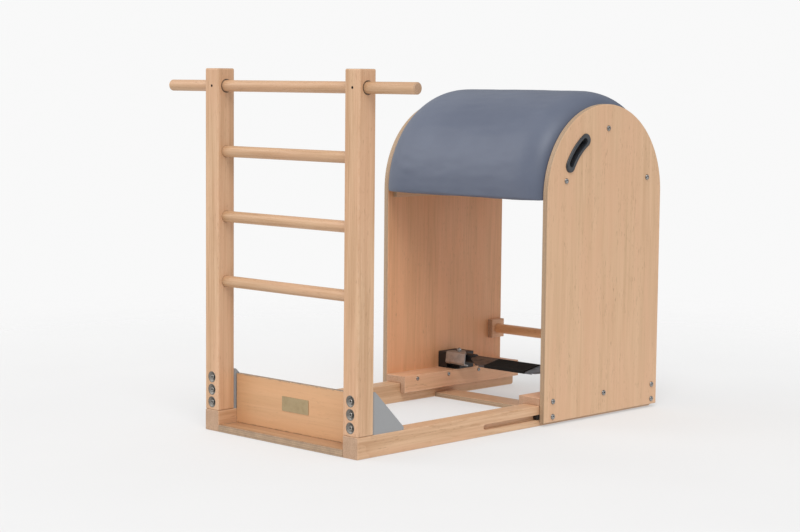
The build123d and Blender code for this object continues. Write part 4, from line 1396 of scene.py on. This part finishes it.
@dataclass
class Timber:
    """The solid wood and plywood pieces, each with its own grain direction and figure.

    Attributes:
        bar_border: Width of the border of painted shade round the handle bar's holes.
        rung_border: Width of the border round the rungs' holes.
        screw_border: Width of the border round the set screws' holes.
        mortise: Depth of the rungs' holes.
        bar_share: Strength of the painted shade round the handle bar.
        rung_share: Strength of the painted shade round the rungs.
        screw_share: Strength of the painted shade round the set screws.
        first_seed: Number that sets the first piece's own figure.
    """

    bar_border: float = 4.5 * MM
    rung_border: float = 1.6 * MM
    screw_border: float = 1.4 * MM
    mortise: float = 30 * MM
    bar_share: float = 1.0
    rung_share: float = 0.4
    screw_share: float = 0.9
    first_seed: int = 11

    def post_holes(self) -> tuple[Hole, ...]:
        """The posts' holes for the handle bar, the rungs and the set screws.

        Returns:
            The holes, taken from the boxes of what sits in them.
        """
        holes = []
        for node in ("handle_bar", "rung_upper", "rung_middle", "rung_lower"):
            low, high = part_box(node)
            through = node == "handle_bar"
            border, share = (self.bar_border, self.bar_share) if through else (self.rung_border, self.rung_share)
            reach = high.y if through else high.y - self.mortise / 2
            holes.append(Hole(Grain.ALONG_Y, tuple((low + high) / 2), (high.z - low.z) / 2, border, share, reach))
        for low, high in solids_of("bar_set_screws"):
            centre = (float(low[0]), float(low[1] + high[1]) / 2, float(low[2] + high[2]) / 2)
            radius = float(high[2] - low[2]) / 2
            holes.append(Hole(Grain.ALONG_X, centre, radius, self.screw_border, self.screw_share, float(high[0])))
        return tuple(holes)

    def rows(self) -> dict[str, WoodFinish | PlyFinish]:
        """Sets out the finish of every wooden node.

        Returns:
            The finish by the node's name, in the order of their seeds.
        """
        post = WoodFinish(BEECH, Grain.ALONG_Z, figure=1.25, holes=self.post_holes())
        rail = WoodFinish(BEECH, Grain.ALONG_X, figure=1.25)
        # The pieces inside the barrel carry painted light against its shade.
        strip = WoodFinish(ROSY_PAINTED_LIGHT, Grain.ALONG_X)
        round_bar = WoodFinish(DOWEL, Grain.ALONG_Y, figure=1.25, flecks=0.4)
        # The stretcher bar's colour holds painted light against the shade inside the barrel.
        stretcher = WoodFinish(HONEY_PAINTED_LIGHT, Grain.ALONG_Y, figure=0.8)
        sliced = WoodFinish(VENEER, Grain.ALONG_Z, figure=0.65, flecks=0.45, ring_width=0.021)
        # The left panel carries painted warm bounce light from the drum's inside.
        sliced_painted_bounce = WoodFinish(VENEER_PAINTED_BOUNCE, Grain.ALONG_Z, figure=0.8, flecks=0.38, ring_width=0.021)
        board_face = WoodFinish(AMBER, Grain.ALONG_Y, figure=0.6, flecks=0.22, ring_width=0.012)
        # The foot board's and foot plate's edges darken: dirt, and painted shade along their joints.
        board_face = replace(board_face, edge=DIRT_AND_SHADE_EDGE, edge_share=0.8, edge_width=0.004)
        plate_face = WoodFinish(TRODDEN, Grain.ALONG_Y, figure=1.2, flecks=0.6)
        plate_face = replace(plate_face, edge=DIRT_AND_SHADE_EDGE, edge_share=0.85, edge_width=0.008)
        cross_face = WoodFinish(BEECH, Grain.ALONG_Y, figure=1.2, flecks=0.6)
        shell_face = WoodFinish(VENEER, Grain.ALONG_Y, figure=0.6)
        rib = PlyFinish(WoodFinish(VENEER, Grain.ALONG_X, figure=0.6), "Y")
        rows: dict[str, WoodFinish | PlyFinish] = {
            "handle_bar": round_bar,
            "stretcher_bar": stretcher,
            "rung_upper": round_bar,
            "rung_middle": round_bar,
            "rung_lower": round_bar,
            "foot_board": PlyFinish(board_face, "X", soil=0.5),
            "foot_plate": PlyFinish(plate_face, "Z", soil=0.3),
            "cross_board": PlyFinish(cross_face, "Z"),
            "drum_rib_middle": rib,
            "drum_shell": PlyFinish(shell_face, "Y"),
            "drum_battens": rail,
            "side_panel_right": PlyFinish(sliced, "Y"),
            "side_panel_left": PlyFinish(sliced_painted_bounce, "Y"),
        }
        pairs = {"upright": post, "base_rail": rail, "top_board": strip, "slide_strip": strip}
        pairs |= {"stretcher_block": strip, "drum_rib": rib}
        for name, finish in pairs.items():
            rows[name + "_left"] = rows[name + "_right"] = finish
        return rows

    def build(self, effects: Effects) -> None:
        """Dresses every wooden node.

        Args:
            effects: The shared groups.
        """
        for seed, (node, finish) in enumerate(self.rows().items(), self.first_seed):
            dress(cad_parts[node], finish.material(effects, node, seed))
            log.info("%s dressed", node)


@dataclass
class PedalTread:
    """The rubber tread of the foot pedal, turned down over the plate's front edge, with low ribs and a smooth border.

    Attributes:
        tilt: Angle of the plate, its front lower than its rear.
        thickness: Thickness of the rubber.
        bend: Outer radius of its turned front edge.
        rib_pitch: Distance between ribs.
        rib_height: Height of the ribs above the grooves.
        border: Width of the smooth border.
        length_points: Number of points along the tread.
        width_points: Number of points across it.
    """

    tilt: float = math.radians(10.6)
    thickness: float = 2 * MM
    bend: float = 2.4 * MM
    rib_pitch: float = 5.5 * MM
    rib_height: float = 0.7 * MM
    border: float = 5 * MM
    length_points: int = 181
    width_points: int = 61

    def __post_init__(self) -> None:
        """Takes the tread's corners in the plate's own axes from its node."""
        self.turn = np.array(Matrix.Rotation(-self.tilt, 3, "Y"))
        flat = points_of(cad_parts["pedal_grip"].data) @ self.turn
        self.low, self.high = flat.min(0), flat.max(0)

    def path(self, inward: float) -> np.ndarray:
        """The tread's line from its rear edge forward, round a quarter turn and down.

        Args:
            inward: How far the line lies below the outer surface.

        Returns:
            Rows of x and z in the plate's axes.
        """
        radius = self.bend - inward
        centre = np.array([self.low[0] + self.bend, self.high[2] - self.bend])
        x = np.linspace(self.high[0], centre[0], self.length_points)
        sweep = np.linspace(0, math.pi / 2, 7)[1:]
        top = np.stack([x, np.full_like(x, centre[1] + radius)], axis=1)
        corner = centre + radius * np.stack([-np.sin(sweep), np.cos(sweep)], axis=1)
        foot = np.array([[centre[0] - radius, self.low[2]]])
        return np.concatenate([top, corner, foot])

    def outer(self, y: np.ndarray) -> np.ndarray:
        """The outer surface: between ribs it falls along a cosine, except in the border and the bend.

        Args:
            y: Places across the tread.

        Returns:
            Grid of points in the plate's axes.
        """
        line = self.path(0.0)
        x, z = line[:, :1], line[:, 1:]
        from_ends = np.minimum(self.high[0] - x, x - self.low[0] - self.bend)
        inside = np.minimum(from_ends, self.high[1] - np.abs(y)[None, :]) - self.border
        rib = np.sqrt(0.5 - 0.5 * np.cos(2 * math.pi * x / self.rib_pitch))
        height = z - self.rib_height * (1 - rib) * np.clip(inside / MM, 0, 1)
        return np.stack(np.broadcast_arrays(x, y[None, :], height), axis=-1)

    def inner(self, y: np.ndarray) -> np.ndarray:
        """The inner surface, one thickness below the outer one.

        Args:
            y: Places across the tread.

        Returns:
            Grid of points in the plate's axes.
        """
        line = self.path(self.thickness)
        x, z = line[:, :1], line[:, 1:]
        return np.stack(np.broadcast_arrays(x, y[None, :], z), axis=-1)

    def build(self, effects: Effects) -> None:
        """Makes the tread as two surfaces joined round the rim, turns it into the plate's plane and mounts it.

        Args:
            effects: The shared groups.
        """
        y = np.linspace(self.low[1], self.high[1], self.width_points)
        outer, inner = self.outer(y), self.inner(y)
        rims = [(outer[0], inner[0]), (outer[-1], inner[-1]), (outer[:, 0], inner[:, 0]), (outer[:, -1], inner[:, -1])]
        surface = Surface("pedal_tread")
        for grid in [outer, inner] + [np.stack(rim) for rim in rims]:
            surface.add(grid @ self.turn.T)
        piece = surface.build(smooth_angle=50)
        dress(piece, BLACK_RUBBER.material(effects))
        take_over(piece, "pedal", "black_rubber", "pedal_grip")


class Fittings:
    """The steel, brass and moulded nodes that keep their shape."""

    def build(self, effects: Effects) -> None:
        """Dresses every fitting.

        Args:
            effects: The shared groups.
        """
        rows = {
            GUSSET_GREY: ("gusset_left", "gusset_right"),
            GRIP_MOULDING: ("hand_grip_left", "hand_grip_right"),
            BLACK_MOULDING: ("pivot_block_left", "pivot_block_right", "guide_strip_left", "guide_strip_right"),
            PLATE_BRASS: ("name_plate",),
            SHEET_STEEL: ("lock_bracket_left", "lock_bracket_right"),
            PEDAL_STEEL: ("pedal_plate",),
            SHAFT_STEEL: ("pedal_shaft", "release_levers", "brake_plunger_left", "brake_plunger_right"),
        }
        for finish, nodes in rows.items():
            made = finish.material(effects)
            for node in nodes:
                dress(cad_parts[node], made)
            log.info("%s dressed", ", ".join(nodes))
        shoes = bpy.data.materials[BLACK_RUBBER.name]
        for node in ("brake_shoe_left", "brake_shoe_right"):
            dress(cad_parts[node], shoes)


@dataclass(frozen=True)
class SoftLight:
    """One broad light from far away.

    Attributes:
        name: Name of the light.
        towards: Direction from the object to the light.
        strength: Brightness on a surface that faces it.
        spread: Angle under which it is seen, which softens its shadows.
    """

    name: str
    towards: Triple
    strength: float
    spread: float


@dataclass
class Studio:
    """The camera, the pale floor and the soft lights.

    Attributes:
        eye: Place of the camera.
        yaw: Direction of view from +X towards +Y.
        pitch: Angle of view below the horizon.
        roll: Turn of the camera about its own line of view.
        lens: Focal length in millimetres.
        sensor: Width of the camera's sensor in millimetres.
        backdrop: Brightness of the background behind the object.
        ambient: Brightness of the surroundings that light the object.
        window: Direction of the brightest part of the room that glossy surfaces mirror.
        far_window: Direction of a second bright part of that room.
        floor_size: Length of the floor's sides.
        floor_gap: How far the floor lies below the object.
        floor_tones: Colours that the floor's mottling mixes.
        floor_glow: Light that the floor gives off by itself, which thins the shadows on it.
        floor_fade: Distances between which the floor fades into the background.
        lights: The lights.
    """

    eye: Triple = (-4.0128, -3.7504, 0.9738)
    yaw: float = 0.7743
    pitch: float = 0.0974
    roll: float = 0.0091
    lens: float = 85.894
    sensor: float = 36.0
    backdrop: float = 0.945
    ambient: float = 0.74
    window: Triple = (-0.55, 0.45, 0.55)
    far_window: Triple = (0.75, -0.62, 0.2)
    floor_size: float = 16.0
    floor_gap: float = 0.5 * MM
    floor_tones: tuple[Color, Color] = ((0.42, 0.42, 0.42, 1), (0.45, 0.45, 0.45, 1))
    floor_glow: float = 0.385
    floor_fade: tuple[float, float] = (1.2, 3.4)
    lights: tuple[SoftLight, ...] = (
        SoftLight("key", (-0.42, -0.44, 0.79), 1.45, math.radians(35)),
        SoftLight("side", (-0.53, 0.70, 0.48), 0.45, math.radians(40)),
    )

    def camera(self) -> None:
        """Places the camera at the picture's viewpoint: its axes are the yaw and pitch turned by the roll."""
        data = bpy.data.cameras.new("view")
        data.lens, data.sensor_width = self.lens, self.sensor
        made = bpy.data.objects.new("view", data)
        bpy.context.scene.collection.objects.link(made)
        level_x, level_y = math.cos(self.yaw), math.sin(self.yaw)
        ahead = Vector((math.cos(self.pitch) * level_x, math.cos(self.pitch) * level_y, -math.sin(self.pitch)))
        right = Matrix.Rotation(-self.roll, 3, ahead) @ Vector((level_y, -level_x, 0))
        axes = Matrix((right, right.cross(ahead), -ahead)).transposed()
        made.matrix_world = Matrix.Translation(self.eye) @ axes.to_4x4()
        bpy.context.scene.camera = made

    def light(self, source: SoftLight) -> None:
        """Places one light.

        Args:
            source: The light.
        """
        data = bpy.data.lights.new(source.name, "SUN")
        data.energy, data.angle = source.strength, source.spread
        made = bpy.data.objects.new(source.name, data)
        made.rotation_euler = Vector(source.towards).to_track_quat("Z", "Y").to_euler()
        bpy.context.scene.collection.objects.link(made)

    def floor(self) -> None:
        """Lays a pale, faintly mottled floor that fades into the background away from its middle."""
        bpy.ops.mesh.primitive_plane_add(size=self.floor_size, location=(0, 0, -self.floor_gap))
        floor = bpy.context.object
        floor.name = "studio_floor"
        made, sketch, shader = new_material("studio_floor")
        place = sketch.object_place()
        soft = sketch.noise(place, 1.5, 2.0)
        color = sketch.blend(soft, *self.floor_tones)
        away = sketch.vector("LENGTH", place).outputs["Value"]
        shown = sketch.math("SUBTRACT", 1.0, sketch.ramp(away, *self.floor_fade))
        sketch.feed(shader, {"Base Color": color, "Alpha": shown})
        shader.inputs["Roughness"].default_value = 0.75
        shader.inputs["Specular IOR Level"].default_value = 0.2
        shader.inputs["Emission Color"].default_value = WHITE
        shader.inputs["Emission Strength"].default_value = self.floor_glow
        dress(floor, made)

    def surroundings(self) -> None:
        """Lights the scene from all round.

        Matt surfaces get an even light and the camera sees a paler background. Glossy ones mirror a room that
        brightens towards one large window and has a smaller one: smooth steps of the angle from each.
        """
        world = bpy.data.worlds.new("studio")
        bpy.context.scene.world = world
        world.use_nodes = True
        sketch = Sketch(world.node_tree)
        rays = sketch.node("ShaderNodeLightPath").outputs
        direction = sketch.node("ShaderNodeTexCoord").outputs["Generated"]
        nearness = sketch.vector("DOT_PRODUCT", direction, Vector(self.window).normalized()).outputs["Value"]
        mirrored = sketch.math("MULTIPLY_ADD", sketch.ramp(nearness, -0.5, 0.9), 0.75, 0.16)
        mirrored = sketch.math("MULTIPLY_ADD", sketch.ramp(nearness, 0.88, 0.98), 0.9, mirrored)
        nearness = sketch.vector("DOT_PRODUCT", direction, Vector(self.far_window).normalized()).outputs["Value"]
        mirrored = sketch.math("MULTIPLY_ADD", sketch.ramp(nearness, 0.86, 0.97), 0.9, mirrored)
        change = sketch.math("SUBTRACT", mirrored, self.ambient)
        strength = sketch.math("MULTIPLY_ADD", rays["Is Glossy Ray"], change, self.ambient)
        strength = sketch.math("MULTIPLY_ADD", rays["Is Camera Ray"], self.backdrop - self.ambient, strength)
        background = world.node_tree.nodes["Background"]
        background.inputs["Color"].default_value = WHITE
        sketch.tree.links.new(strength, background.inputs["Strength"])

    def build(self) -> None:
        """Sets up the whole studio."""
        self.camera()
        self.floor()
        self.surroundings()
        bpy.context.scene.view_settings.view_transform = "Standard"
        for source in self.lights:
            self.light(source)
        log.info("studio ready")


def main() -> None:
    """Builds the sub-assemblies in order."""
    logging.basicConfig(level=logging.INFO, format="%(message)s")
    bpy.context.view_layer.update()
    Studio().build()
    effects = Effects()
    Timber().build(effects)
    PedalTread().build(effects)
    Fittings().build(effects)
    Fasteners().build(effects)
    PaddedCover().build(effects)


if __name__ == "__main__":
    main()
